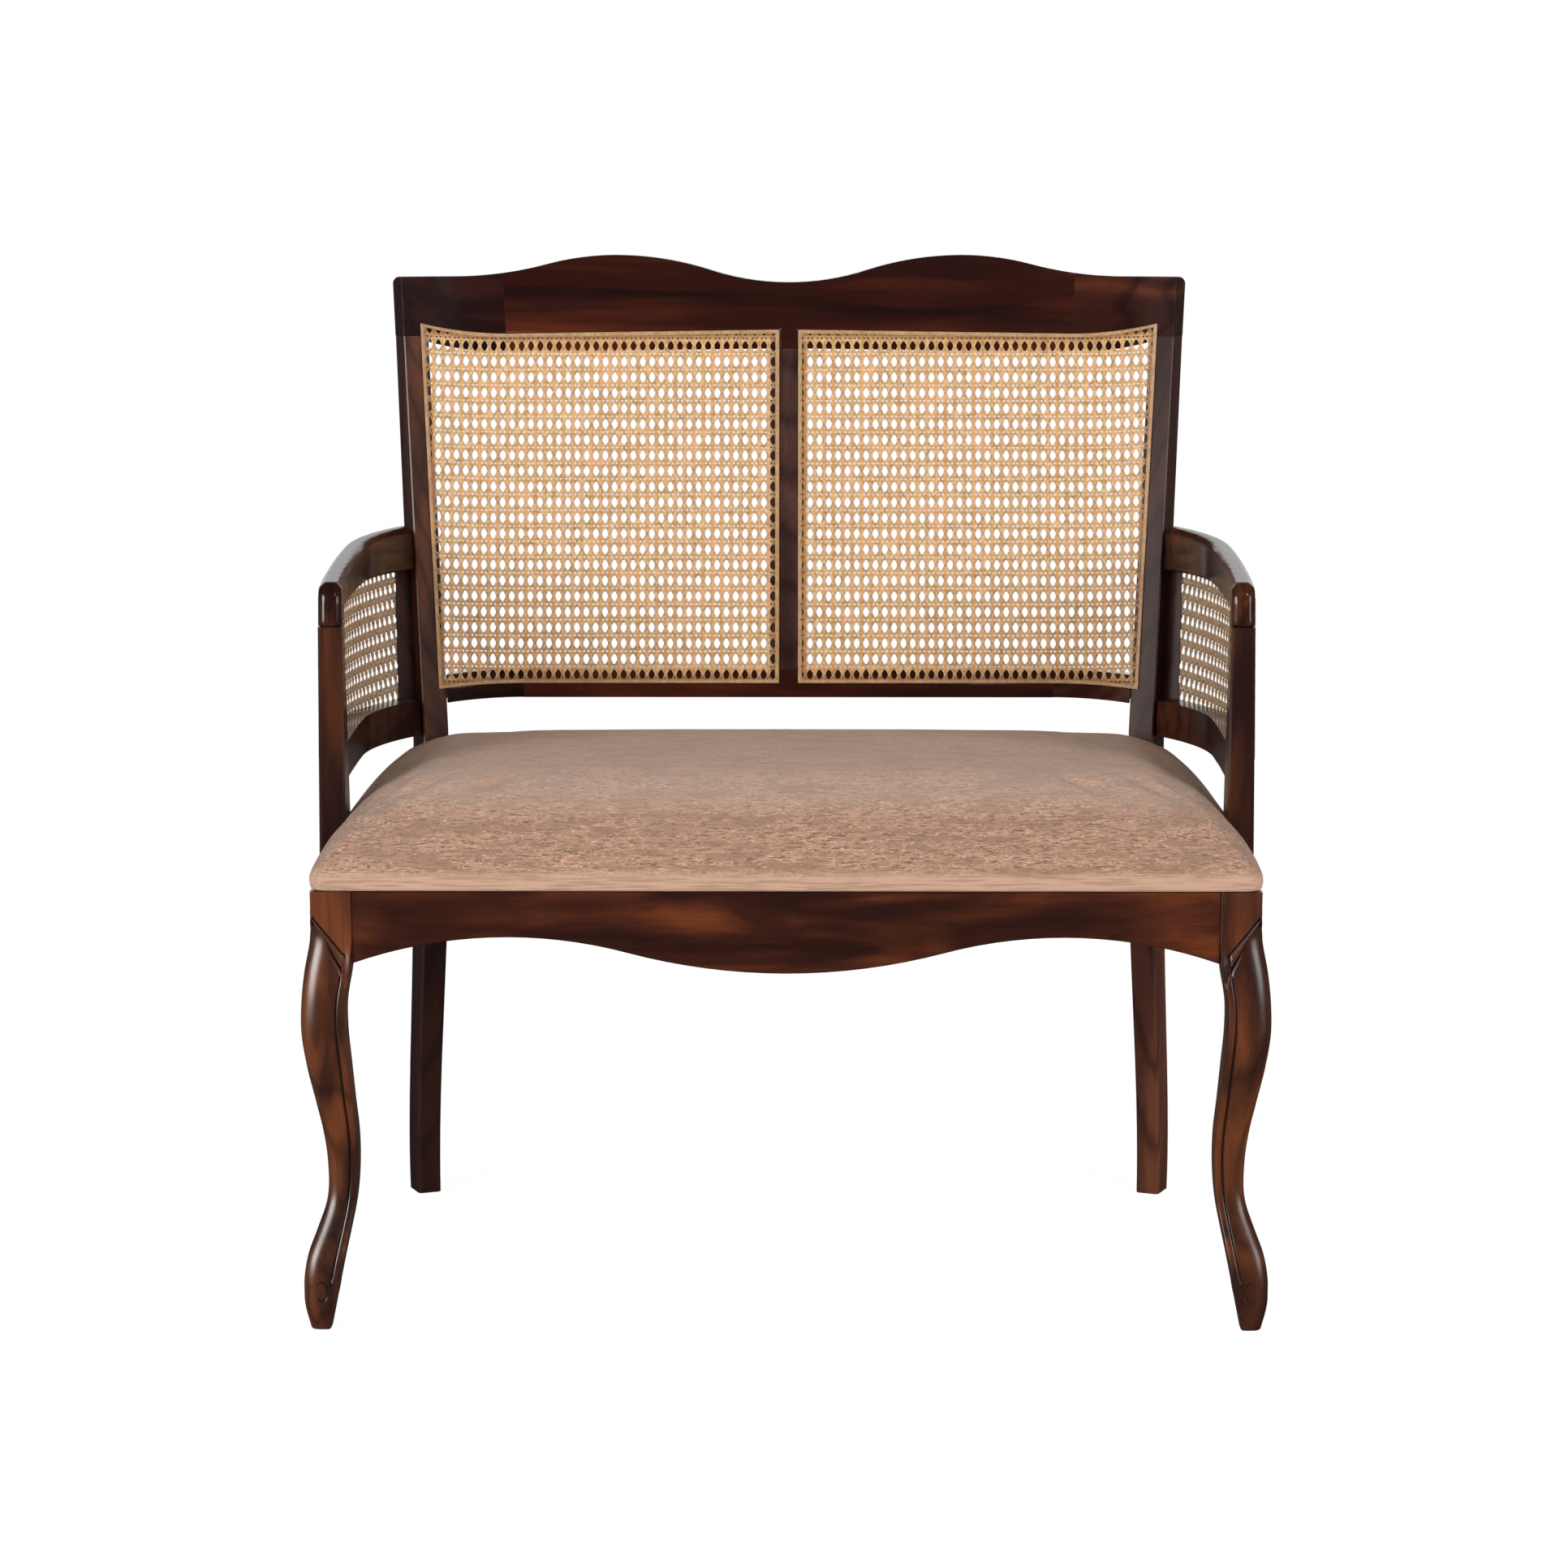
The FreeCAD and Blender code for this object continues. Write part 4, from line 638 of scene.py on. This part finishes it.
base_z = 0.485
wing_start_x = 0.266
splay = math.tan(math.radians(3.15))
joint_tolerance = 0.0006
crest_wood = lacquered("crest_wood", "X", (0.029, 0.0062, 0.0038), (0.088, 0.017, 0.0065),
                       (0.009, 0.003, 0.003), light_share=0.47, waviness=1.1, vein_strength=0.75,
                       along=2.6, across=26.0, place=(1.3, 0.5, 0))
# The centre stile's wood is lighter and greyer than the crest: its colours carry a painted sheen, a
# reflection on its face.
middle_wood_and_sheen = lacquered("middle_stile_wood_and_sheen", "Z", (0.042, 0.0195, 0.0165), (0.090, 0.042, 0.033),
                        (0.012, 0.004, 0.004), waviness=0.4, across=34.0)
wing_tones = {
    "left": ((0.014, 0.0045, 0.0045), (0.034, 0.009, 0.0065)),
    "right": ((0.035, 0.0088, 0.0058), (0.105, 0.026, 0.0105)),
}


def at_joint(point):
    """Whether a corner lies where the middle pieces meet the hollowed ends, flush and unbroken."""
    return abs(abs(point.x) - wing_start_x - splay * (point.z - base_z)) < joint_tolerance


joined_copy("crest_middle", "crest_center", 0.0022, crest_wood, segments=3, flush=at_joint)
joined_copy("lower_rail_middle", "lower_back_rail_center", 0.0012, crest_wood, flush=at_joint)
joined_copy("middle_stile", "center_stile", 0.0010, middle_wood_and_sheen)
for side, (dark, light) in wing_tones.items():
    wing_wood = lacquered("wing_wood_" + side, "X", dark, light, (0.008, 0.003, 0.003), light_share=0.45,
                          waviness=0.8, vein_strength=0.6, along=4.0, across=26.0)
    joined_copy("crest_end_" + side, "crest_wing_" + side, 0.0018, wing_wood, flush=at_joint)
    joined_copy("lower_rail_end_" + side, "lower_back_rail_wing_" + side, 0.0010, wing_wood, flush=at_joint)


# Reeds round the cane
# A split reed is glued into the groove round each cane panel and traps the sheet's edge. It is
# rounded on top and left the colour of cane.

reed, tree, shader, coordinates = new_material("split_reed")
coarse = noise(tree, coordinates, 90.0, 4.0, 0.6)
rough = compute(tree, "ADD", coarse, noise(tree, coordinates, 700.0, 2.0))
color = blend(tree, map_range(tree, rough, 0.7, 1.3), (0.36, 0.19, 0.085), (0.62, 0.38, 0.19))
feed(shader, Base_Color=color, Roughness=0.5, Normal=bumped(tree, rough, 0.4, 0.0003))
for side in ("left", "right"):
    joined_copy("back_reed_" + side, "back_spline_" + side, 0.0012, reed, segments=3)
    joined_copy("arm_reed_" + side, "arm_spline_" + side, 0.0012, reed, segments=3)


# Woven cane
# Machine-woven sheet cane: pairs of strands up and across, locked by two diagonals, with upright
# oval holes. One cell of it is modelled, repeated by nodes, and bent over the back and the arms.

cell_width = 0.00947
cell_height = 0.01591
upright_place = 0.00378
crosswise_place = 0.0061
strand_thickness = 0.00045
strand_top_share = 0.62
weave_rise = 0.0003
diagonal_rise = 0.0005
cell_joining = 0.00002


def strand(form, points, width):
    """Flat strand with a narrower top along points (x, y, height)."""
    rings = []
    for index, point in enumerate(points):
        before = points[max(index - 1, 0)]
        after = points[min(index + 1, len(points) - 1)]
        run = Vector((after[0] - before[0], after[1] - before[1], 0)).normalized()
        across = Vector((-run.y, run.x, 0)) * width / 2
        up = Vector((0, 0, strand_thickness / 2))
        low, high = Vector(point) - up, Vector(point) + up
        top = across * strand_top_share
        corners = (low - across, low + across, high + top, high - top)
        rings.append([form.verts.new(corner) for corner in corners])
    for low, high in zip(rings, rings[1:]):
        for index in range(4):
            after = (index + 1) % 4
            form.faces.new((low[index], high[index], high[after], low[after]))


def make_cell(name, upright_width, crosswise_width, diagonal_width):
    """One repeat of the weave about the origin."""
    form = bmesh.new()
    half_w = cell_width / 2
    half_h = cell_height / 2
    for side in (1, -1):
        x = side * upright_place
        y = side * crosswise_place
        rise = side * weave_rise
        upright = [(x, -half_h, 0), (x, -crosswise_place, -rise), (x, crosswise_place, rise), (x, half_h, 0)]
        crosswise = [(-half_w, y, 0), (-upright_place, y, rise), (upright_place, y, -rise), (half_w, y, 0)]
        strand(form, upright, upright_width)
        strand(form, crosswise, crosswise_width)
    for over in (1, -1):
        for side in (1, -1):
            rise = over * diagonal_rise
            top_y = side * half_h
            end_x = over * side * half_w
            points = [(0, top_y, -rise), (end_x * 0.40, top_y * 0.60, -rise * 0.9)]
            points += [(end_x * 0.60, top_y * 0.40, rise * 0.9), (end_x, 0, rise)]
            strand(form, points, diagonal_width)
    bmesh.ops.recalc_face_normals(form, faces=form.faces)
    return new_object(name, form_to_mesh(name, form))


def make_weave_tree():
    """Cells in columns and rows, joined to one sheet."""
    tree = bpy.data.node_groups.new("woven_sheet", "GeometryNodeTree")
    add_sockets(tree, "INPUT", "Geometry", "Geometry")
    add_sockets(tree, "INPUT", "Object", "Cell")
    add_sockets(tree, "INPUT", "Int", "Columns", "Rows")
    add_sockets(tree, "INPUT", "Float", "Sheet Width", "Sheet Height")
    add_sockets(tree, "OUTPUT", "Geometry", "Geometry")
    given = add_node(tree, "NodeGroupInput").outputs
    grid = add_node(tree, "GeometryNodeMeshGrid", given["Sheet Width"], given["Sheet Height"],
                    given["Columns"], given["Rows"]).outputs["Mesh"]
    cell = add_node(tree, "GeometryNodeObjectInfo", given["Cell"]).outputs["Geometry"]
    placed = add_node(tree, "GeometryNodeInstanceOnPoints", Points=grid, Instance=cell).outputs[0]
    real = add_node(tree, "GeometryNodeRealizeInstances", placed).outputs[0]
    sheet = add_node(tree, "GeometryNodeMergeByDistance", Geometry=real, Distance=cell_joining).outputs[0]
    add_node(tree, "NodeGroupOutput", sheet)
    return tree


back_cell = make_cell("back_cell", 0.0017, 0.0025, 0.0017)
weave_tree = make_weave_tree()


def flat_weave(name, cell, columns, rows):
    """Mesh of a flat woven sheet about the origin."""
    holder = new_object(name, bpy.data.meshes.new(name + "_start"))
    modifier = holder.modifiers.new("weave", "NODES")
    modifier.node_group = weave_tree
    values = {
        "Cell": cell,
        "Columns": columns,
        "Rows": rows,
        "Sheet Width": (columns - 1) * cell_width,
        "Sheet Height": (rows - 1) * cell_height,
    }
    for item in weave_tree.interface.items_tree:
        if item.in_out == "INPUT" and item.name in values:
            modifier[item.identifier] = values[item.name]
    bpy.context.view_layer.update()
    graph = bpy.context.evaluated_depsgraph_get()
    mesh = bpy.data.meshes.new_from_object(holder.evaluated_get(graph))
    bpy.data.objects.remove(holder)
    return mesh


def make_cane_material(name, dark, light, tint, fineness):
    """Cane with fine streaks and blushed patches, darkened with painted shade beside the reed at the sheet's
    edge.
    """
    material, tree, shader, coordinates = new_material(name)
    strands = noise(tree, coordinates, fineness, 3.0, 0.7)
    streaked = blend(tree, map_range(tree, strands, 0.33, 0.67), dark, light)
    blush = map_range(tree, noise(tree, coordinates, 48.0, 2.0), 0.5, 0.7, 0.0, 0.6)
    tinted = blend(tree, blush, streaked, tint)
    # Painted shade: the cane darkens towards the reed round the sheet's edge.
    distance = add_node(tree, "ShaderNodeAttribute", attribute_name="from_reed").outputs["Fac"]
    out_of_reed_shade = map_range(tree, distance, 0.0022, 0.0085, 0.30, 1.0, soft=True)
    shaded_by_reed = blend(tree, out_of_reed_shade, (dark[0] * 0.5, dark[1] * 0.4, dark[2] * 0.35), tinted)
    feed(shader, Base_Color=shaded_by_reed, Roughness=0.42, Normal=bumped(tree, strands, 0.3, 0.0002))
    return material


def vertex_places(mesh):
    """The places of a mesh's vertices, a row for each."""
    places = np.empty(len(mesh.vertices) * 3)
    mesh.vertices.foreach_get("co", places)
    return places.reshape(-1, 3)


def lay_sheet(name, mesh, place, material, node, shift, side):
    """Bend a flat sheet: place(u, v, height) gives point, whether cut back, and distance from the reed."""
    flat = vertex_places(mesh)
    points, cut, inset = place(flat[:, 0] + shift[0], flat[:, 1] + shift[1], flat[:, 2])
    form = bmesh.new()
    form.from_mesh(mesh)
    form.verts.ensure_lookup_table()
    from_reed = form.verts.layers.float.new("from_reed")
    for vertex, point, distance in zip(form.verts, points, inset):
        vertex.co = point
        vertex[from_reed] = distance
    gone = [face for face in form.faces if all(cut[vertex.index] for vertex in face.verts)]
    bmesh.ops.delete(form, geom=gone, context="FACES")
    if side == "right":
        form = mirrored_form(form)
    bpy.data.meshes.remove(mesh)
    add_piece(name + "_" + side, form, material, node + "_" + side, sharp=45)


# the back's surface: a flat middle, then a wing bent forward about a leaning axis to the stile
lean = math.tan(math.radians(9.9))
back_face_y = frame_front_y + 0.49584
stile_turn = math.radians(23.0)
stile_inner_x = 0.343067
wing_reach = stile_inner_x - wing_start_x
slope_dir = Vector((0, lean, 1)).normalized()
front_dir = Vector((0, -1, lean)).normalized()
axis_dir = Vector((-splay, lean, 1)).normalized()
left_dir = (Vector((-1, 0, 0)) + axis_dir * axis_dir.x).normalized()
wing_chord = Vector((-wing_reach, -wing_reach * math.tan(stile_turn / 2), 0))
chord_out = wing_chord.dot(left_dir)
chord_front = wing_chord.dot(front_dir)
bend_radius = (chord_out**2 + chord_front**2) / (2 * chord_front)
bend_angle = 2 * math.atan2(chord_front, chord_out)
bend_length = bend_radius * bend_angle
sheet_stand = 0.0009
panel_top = 0.885
panel_top_at_wing = 0.881
panel_top_end = 0.892
panel_bottom = 0.5305
panel_bottom_end = 0.5265
panel_inner_x = 0.0095
panel_stile_lap = 0.008
reed_middle = 0.0021
settling_rounds = 4


def back_place(u, v, height):
    """u runs to the left from the middle, v up the slope from the stile's base."""
    inner_u = panel_inner_x + reed_middle
    cut = u < inner_u
    u = np.maximum(u, inner_u)
    joint = np.array((-wing_start_x, back_face_y, base_z))
    slope, front, axis, left = (np.array(d) for d in (slope_dir, front_dir, axis_dir, left_dir))
    end_length = bend_length + panel_stile_lap - reed_middle
    origin = np.array((0, back_face_y, base_z))
    for settling in range(settling_rounds):
        flat = origin + np.outer(-u, (1, 0, 0)) + np.outer(v, slope)
        along = (flat - joint) @ axis
        out = (flat - joint) @ left
        beyond = out > end_length
        u = np.where(beyond, u - (out - end_length) / abs(left[0]), u)
        cut |= beyond
        out = np.minimum(out, end_length)
        angle = np.clip(out / bend_radius, 0, bend_angle)
        rest = np.maximum(out - bend_length, 0)
        wrapped = joint + np.outer(along, axis)
        wrapped += np.outer(np.where(out > 0, bend_radius * np.sin(angle) + rest * np.cos(angle), out), left)
        wrapped += np.outer(bend_radius * (1 - np.cos(angle)) + rest * np.sin(angle), front)
        x = -wrapped[:, 0]
        z = wrapped[:, 2]
        wing_x = wing_start_x + splay * (z - base_z)
        in_wing = np.clip((x - wing_x) / (wing_reach + panel_stile_lap), 0, 1)
        top = panel_top + (panel_top_at_wing - panel_top) * np.minimum(x / wing_x, 1)
        top += (panel_top_end - panel_top_at_wing) * in_wing**2 - reed_middle
        bottom = panel_bottom + (panel_bottom_end - panel_bottom) * in_wing**2 + reed_middle
        high_cut = z > top
        deep_cut = z < bottom
        v = np.where(high_cut, v - (z - top) / slope[2], v)
        v = np.where(deep_cut, v + (bottom - z) / slope[2], v)
        cut |= high_cut | deep_cut
    normal = np.outer(np.cos(angle), front) - np.outer(np.sin(angle), left)
    inset = np.minimum(np.minimum(top - z, z - bottom), np.minimum(x - inner_u, end_length - out))
    return wrapped + normal * (height + sheet_stand)[:, None], cut, inset


back_cane = make_cane_material("back_cane", (0.46, 0.24, 0.09), (0.86, 0.57, 0.29), (0.85, 0.45, 0.22),
                               230.0)
back_columns = 40
back_rows = 24
middle_row_v = 0.4049 - (back_rows - 1) / 2 * cell_height
first_column = {"left": 0.0157, "right": 0.0123}
for side in ("left", "right"):
    middle_u = first_column[side] + (back_columns - 1) / 2 * cell_width
    lay_sheet("back_weave", flat_weave("back_weave", back_cell, back_columns, back_rows), back_place,
              back_cane, "back_cane", (middle_u, middle_row_v), side)


# Arms
# A bowed rail runs from the stile to a nose over each arm post and is rounded along its top. A
# lower rail, a slip on the stile and the post frame a strip of cane on the arm's outer side.

arm_wood = lacquered("arm_wood", "Y", (0.020, 0.006, 0.0048), (0.080, 0.022, 0.009), (0.010, 0.003, 0.003),
                     light_share=0.47, waviness=0.5, across=34.0, coat=0.65)
post_wood = lacquered("post_wood", "Z", (0.024, 0.0075, 0.0065), (0.115, 0.031, 0.0095),
                      (0.012, 0.004, 0.004), light_share=0.45, waviness=0.4, along=5.0, across=34.0,
                      place=(1.5, 0, 0), deep=(0.55, 0.66, 0.42))
for side in ("left", "right"):
    arm = joined_copy("bowed_arm_" + side, "arm_rail_" + side, 0.0036, arm_wood, segments=3)
    even = arm.modifiers.new("even", "REMESH")
    even.mode = "VOXEL"
    even.voxel_size = 0.0013
    even.use_smooth_shade = True
    polished = arm.modifiers.new("polished", "SMOOTH")
    polished.factor = 0.5
    polished.iterations = 16
    joined_copy("post_under_arm_" + side, "arm_post_" + side, 0.0014, post_wood)
    joined_copy("arm_bottom_rail_" + side, "arm_lower_rail_" + side, 0.0012, arm_wood)
    joined_copy("slip_on_stile_" + side, "arm_upright_" + side, 0.0008, stile_wood["right"])

arm_slant = math.radians(13.5)
arm_bend_y = frame_front_y + 0.37245
arm_top_z = 0.6895
arm_outer_x = -0.435
arm_rear_radius = 0.302
arm_front_radius = 3.975
arm_panel_low = 0.506
arm_panel_high = 0.656
arm_panel_front = frame_front_y + 0.1205
arm_panel_rear = frame_front_y + 0.4905
arm_rise = math.radians(2.6)
arm_closeness = 0.95
edge_tolerance = 1e-6


def turned(u, v, angle):
    """The pair of values turned by an angle."""
    return u * math.cos(angle) - v * math.sin(angle), u * math.sin(angle) + v * math.cos(angle)


def arm_place(u, v, height):
    """u runs back along the arm from the bend, v up from the panel's middle."""
    u, v = turned(u, v * arm_closeness, arm_rise)
    up = np.array((0, math.sin(arm_slant), math.cos(arm_slant)))
    back = np.array((0, math.cos(arm_slant), -math.sin(arm_slant)))
    inward = np.array((1.0, 0, 0))
    origin = np.array((arm_outer_x, arm_bend_y, arm_top_z))
    start = (arm_panel_low + arm_panel_high) / 2 - arm_top_z
    front = arm_panel_front + reed_middle
    low = arm_panel_low + reed_middle
    high = arm_panel_high - reed_middle
    cut = np.zeros(len(u), bool)
    for settling in range(settling_rounds):
        s, t = turned(u, v + start, arm_slant)
        radius = np.where(s > 0, arm_rear_radius, arm_front_radius)
        angle = np.abs(s) / radius
        point = origin + np.outer(radius * np.sin(angle) * np.sign(s), back) + np.outer(t, up)
        point += np.outer(radius * (1 - np.cos(angle)), inward)
        y = point[:, 1]
        z = point[:, 2]
        rear = arm_panel_rear + lean * (z - base_z) - reed_middle
        inset = np.minimum(np.minimum(rear - y, y - front), np.minimum(high - z, z - low))
        cut |= inset < -edge_tolerance
        u = u + (np.clip(y, front, rear) - y) / np.cos(angle)
        v = v + (np.clip(z, low, high) - z)
    outward = -np.outer(np.cos(angle), inward) + np.outer(np.sin(angle) * np.sign(s), back)
    return point + outward * (height + sheet_stand)[:, None], cut, inset


# The arm's cane has finer, more contrasted streaks than the back's, and darker colours that are painted
# shade on the arm panels.
arm_cane = make_cane_material("arm_cane", (0.27, 0.16, 0.08), (0.74, 0.55, 0.36), (0.62, 0.37, 0.24), 420.0)
arm_cell = make_cell("arm_cell", 0.0024, 0.0026, 0.0021)
arm_columns = 52
arm_rows = 12
arm_middle_u = -0.013
for side in ("left", "right"):
    lay_sheet("arm_weave", flat_weave("arm_weave", arm_cell, arm_columns, arm_rows), arm_place,
              arm_cane, "arm_cane", (arm_middle_u, 0.0), side)
for cell in (back_cell, arm_cell):
    bpy.data.objects.remove(cell)


# Seat
# A plywood board carries shaped foam, crowned along both ways, under a heathered chenille cover
# that is pulled down over a flat border and stapled beneath. Four screws hold it to the blocks.

seat_half = 0.429
seat_front_y = frame_front_y - 0.003
seat_rear_y = frame_front_y + 0.500
side_bend_y = frame_front_y + 0.326
side_bend_radius = 0.343
front_corner_radius = 0.014
border_low = 0.403
border_top = 0.421
crown = 0.085
cover_swell = 0.004
cover_inset = 0.0003
cover_slack = 0.0012
# share of the way in from the side, or back from the front edge, and share of the crown's height
side_rise = (
    (0.000, 0.000),
    (0.007, 0.130),
    (0.028, 0.300),
    (0.060, 0.535),
    (0.100, 0.730),
    (0.170, 0.870),
    (0.310, 0.950),
    (0.600, 0.990),
    (1.000, 1.000),
)
depth_rise = (
    (0.000, 0.000),
    (0.005, 0.115),
    (0.024, 0.290),
    (0.075, 0.690),
    (0.170, 0.905),
    (0.330, 0.985),
    (0.480, 1.000),
    (0.640, 0.975),
    (0.800, 0.905),
    (0.930, 0.740),
    (0.980, 0.470),
    (1.000, 0.000),
)
side_table = smooth_table(*zip(*side_rise))
depth_table = smooth_table(*zip(*depth_rise))


def seat_ends(x, inset):
    """Front and rear of the pad at a distance from its middle."""
    half = seat_half - inset
    front = seat_front_y + inset
    beyond = x - (half - front_corner_radius)
    if beyond > 0:
        front += front_corner_radius - math.sqrt(max(0.0, front_corner_radius**2 - beyond**2))
    radius = side_bend_radius - inset
    beyond = x - (half - radius)
    rear = side_bend_y + math.sqrt(max(0.0, radius**2 - beyond**2))
    return front, min(rear, seat_rear_y - inset)


def seat_block(inset, crown_height):
    """Closed form of the pad, before it is puffed."""
    form = bmesh.new()
    half = seat_half - inset
    xs = [half * math.sin(math.radians(angle)) for angle in np.linspace(-90, 90, 121)]
    depths = [(1 - math.cos(math.pi * share)) / 2 for share in np.linspace(0, 1, 61)]
    top, low = [], []
    for x in xs:
        front, rear = seat_ends(abs(x), inset)
        side = max(0.0, min(1.0, read_table(1 - abs(x) / half, side_table)))
        line, base = [], []
        for depth in depths:
            rise = max(0.0, read_table(depth, depth_table))
            y = front + (rear - front) * depth
            line.append(form.verts.new((x, y, border_top - inset + crown_height * side * rise)))
            base.append(form.verts.new((x, y, border_low + inset * 0.2)))
        top.append(line)
        low.append(base)
    for rows in (top, low):
        for first, second in zip(rows, rows[1:]):
            for index in range(len(depths) - 1):
                form.faces.new((first[index], second[index], second[index + 1], first[index + 1]))
    for first, second, below, beside in zip(top, top[1:], low, low[1:]):
        form.faces.new((first[0], second[0], beside[0], below[0]))
        form.faces.new((first[-1], second[-1], beside[-1], below[-1]))
    for line, base in ((top[0], low[0]), (top[-1], low[-1])):
        for index in range(len(depths) - 1):
            form.faces.new((line[index], line[index + 1], base[index + 1], base[index]))
    bmesh.ops.remove_doubles(form, verts=form.verts, dist=1e-5)
    bmesh.ops.recalc_face_normals(form, faces=form.faces)
    return form


def make_fabric():
    """Heathered chenille: streaks and flecks on the crown, plain threads on the border, and painted light on
    the top of the crown.
    """
    material, tree, shader, coordinates = new_material("heathered_chenille")

    def texture(scale, detail, roughness):
        stretched = add_node(tree, "ShaderNodeMapping", coordinates, Scale=scale).outputs[0]
        return noise(tree, stretched, 1.0, detail, roughness)

    def mask(value, low, high, most):
        return map_range(tree, value, low, high, 0.0, most, soft=True)

    streaks = texture((105.0, 640.0, 640.0), 4.0, 0.7)
    flecks = texture((260.0, 900.0, 900.0), 3.0, 0.65)
    clouds = texture((9.0, 14.0, 14.0), 3.0, 0.6)
    threads = texture((26.0, 600.0, 600.0), 2.0, 0.5)
    drifts = texture((20.0, 42.0, 130.0), 5.0, 0.7)
    crown_color = blend(tree, mask(streaks, 0.46, 0.62, 1.0), (0.50, 0.285, 0.190), (0.190, 0.098, 0.060))
    crown_color = blend(tree, mask(flecks, 0.54, 0.66, 0.9), crown_color, (0.80, 0.55, 0.39))
    crown_color = blend(tree, mask(drifts, 0.47, 0.60, 0.65), crown_color, (0.29, 0.165, 0.105))
    crown_color = blend(tree, mask(clouds, 0.44, 0.68, 0.30), crown_color, (0.33, 0.20, 0.13))
    border_color = blend(tree, mask(threads, 0.42, 0.64, 1.0), (0.52, 0.32, 0.225), (0.38, 0.225, 0.15))
    border_color = blend(tree, mask(flecks, 0.56, 0.72, 0.4), border_color, (0.62, 0.42, 0.30))
    height = add_node(tree, "ShaderNodeSeparateXYZ", coordinates).outputs["Z"]
    wander = compute(tree, "MULTIPLY_ADD", clouds, 0.012, height)
    on_crown = mask(wander, border_top - 0.001, border_top + 0.010, 1.0)
    # Painted light: the highest part of the crown is blended towards a lighter colour, as if lit from above.
    top_light_share = mask(wander, border_top + 0.046, border_top + 0.070, 0.24)
    crown_color = blend(tree, top_light_share, crown_color, (0.80, 0.57, 0.44))
    pile = compute(tree, "ADD", streaks, flecks)
    feed(shader, Base_Color=blend(tree, on_crown, border_color, crown_color), Roughness=0.9,
         Sheen_Weight=0.20, Sheen_Roughness=0.45,
         Normal=bumped(tree, pile, mask(on_crown, 0.0, 1.0, 0.8), 0.0012))
    return material


cloth_values = {
    "quality": 5,
    "mass": 0.3,
    "tension_stiffness": 15,
    "compression_stiffness": 15,
    "bending_stiffness": 0.8,
    "use_pressure": True,
    "uniform_pressure_force": 4.0,
    "vertex_group_mass": "held",
}
cloth_frames = 20


def puff(piece, held_below, swell):
    """Remesh a closed pad evenly, blow it up a little as cloth, and keep its border in place."""
    remesh = piece.modifiers.new("even", "REMESH")
    remesh.mode = "VOXEL"
    remesh.voxel_size = 0.005
    graph = bpy.context.evaluated_depsgraph_get()
    even = bpy.data.meshes.new_from_object(piece.evaluated_get(graph))
    piece.modifiers.remove(remesh)
    piece.data = even
    rest = vertex_places(even)
    held = piece.vertex_groups.new(name="held")
    for index, point in enumerate(rest):
        if point[2] < held_below:
            held.add([index], 1.0, "REPLACE")
    cloth = piece.modifiers.new("cloth", "CLOTH")
    for name, value in cloth_values.items():
        setattr(cloth.settings, name, value)
    cloth.settings.effector_weights.gravity = 0
    cloth.point_cache.frame_start = 1
    cloth.point_cache.frame_end = cloth_frames
    for moment in range(1, cloth_frames + 1):
        bpy.context.scene.frame_set(moment)
    graph = bpy.context.evaluated_depsgraph_get()
    moved = vertex_places(piece.evaluated_get(graph).to_mesh()) - rest
    piece.evaluated_get(graph).to_mesh_clear()
    piece.modifiers.remove(cloth)
    piece.vertex_groups.clear()
    bpy.context.scene.frame_set(1)
    length = np.maximum(np.linalg.norm(moved, axis=1), 1e-9)
    rest += moved * (np.minimum(length, swell) / length)[:, None]
    even.vertices.foreach_set("co", rest.ravel())
    even.update()


seat_form = seat_block(cover_inset, crown - cover_swell - cover_slack)
cover = new_object("chenille_seat", form_to_mesh("chenille_seat", seat_form))
puff(cover, border_top - 0.002, cover_swell)
cover.data.polygons.foreach_set("use_smooth", [True] * len(cover.data.polygons))
cover.data.materials.clear()
cover.data.materials.append(make_fabric())
finer = cover.modifiers.new("finer", "SUBSURF")
finer.levels = 1
finer.render_levels = 1
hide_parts("seat_cover", "seat_foam")
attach(cover, "root")

ply = lacquered("plywood", "X", (0.42, 0.27, 0.14), (0.58, 0.41, 0.24), (0.34, 0.20, 0.11),
                light_share=0.55, waviness=0.9, vein_strength=0.4, across=22.0, coat=0.0)
finish_node("seat_board", ply)

zinc, tree, shader, coordinates = new_material("zinc_plate")
dull = map_range(tree, noise(tree, coordinates, 900.0, 3.0), 0.0, 1.0, 0.28, 0.55)
feed(shader, Base_Color=(0.55, 0.55, 0.56, 1), Metallic=1.0, Roughness=dull)
finish_node("seat_screws", zinc)
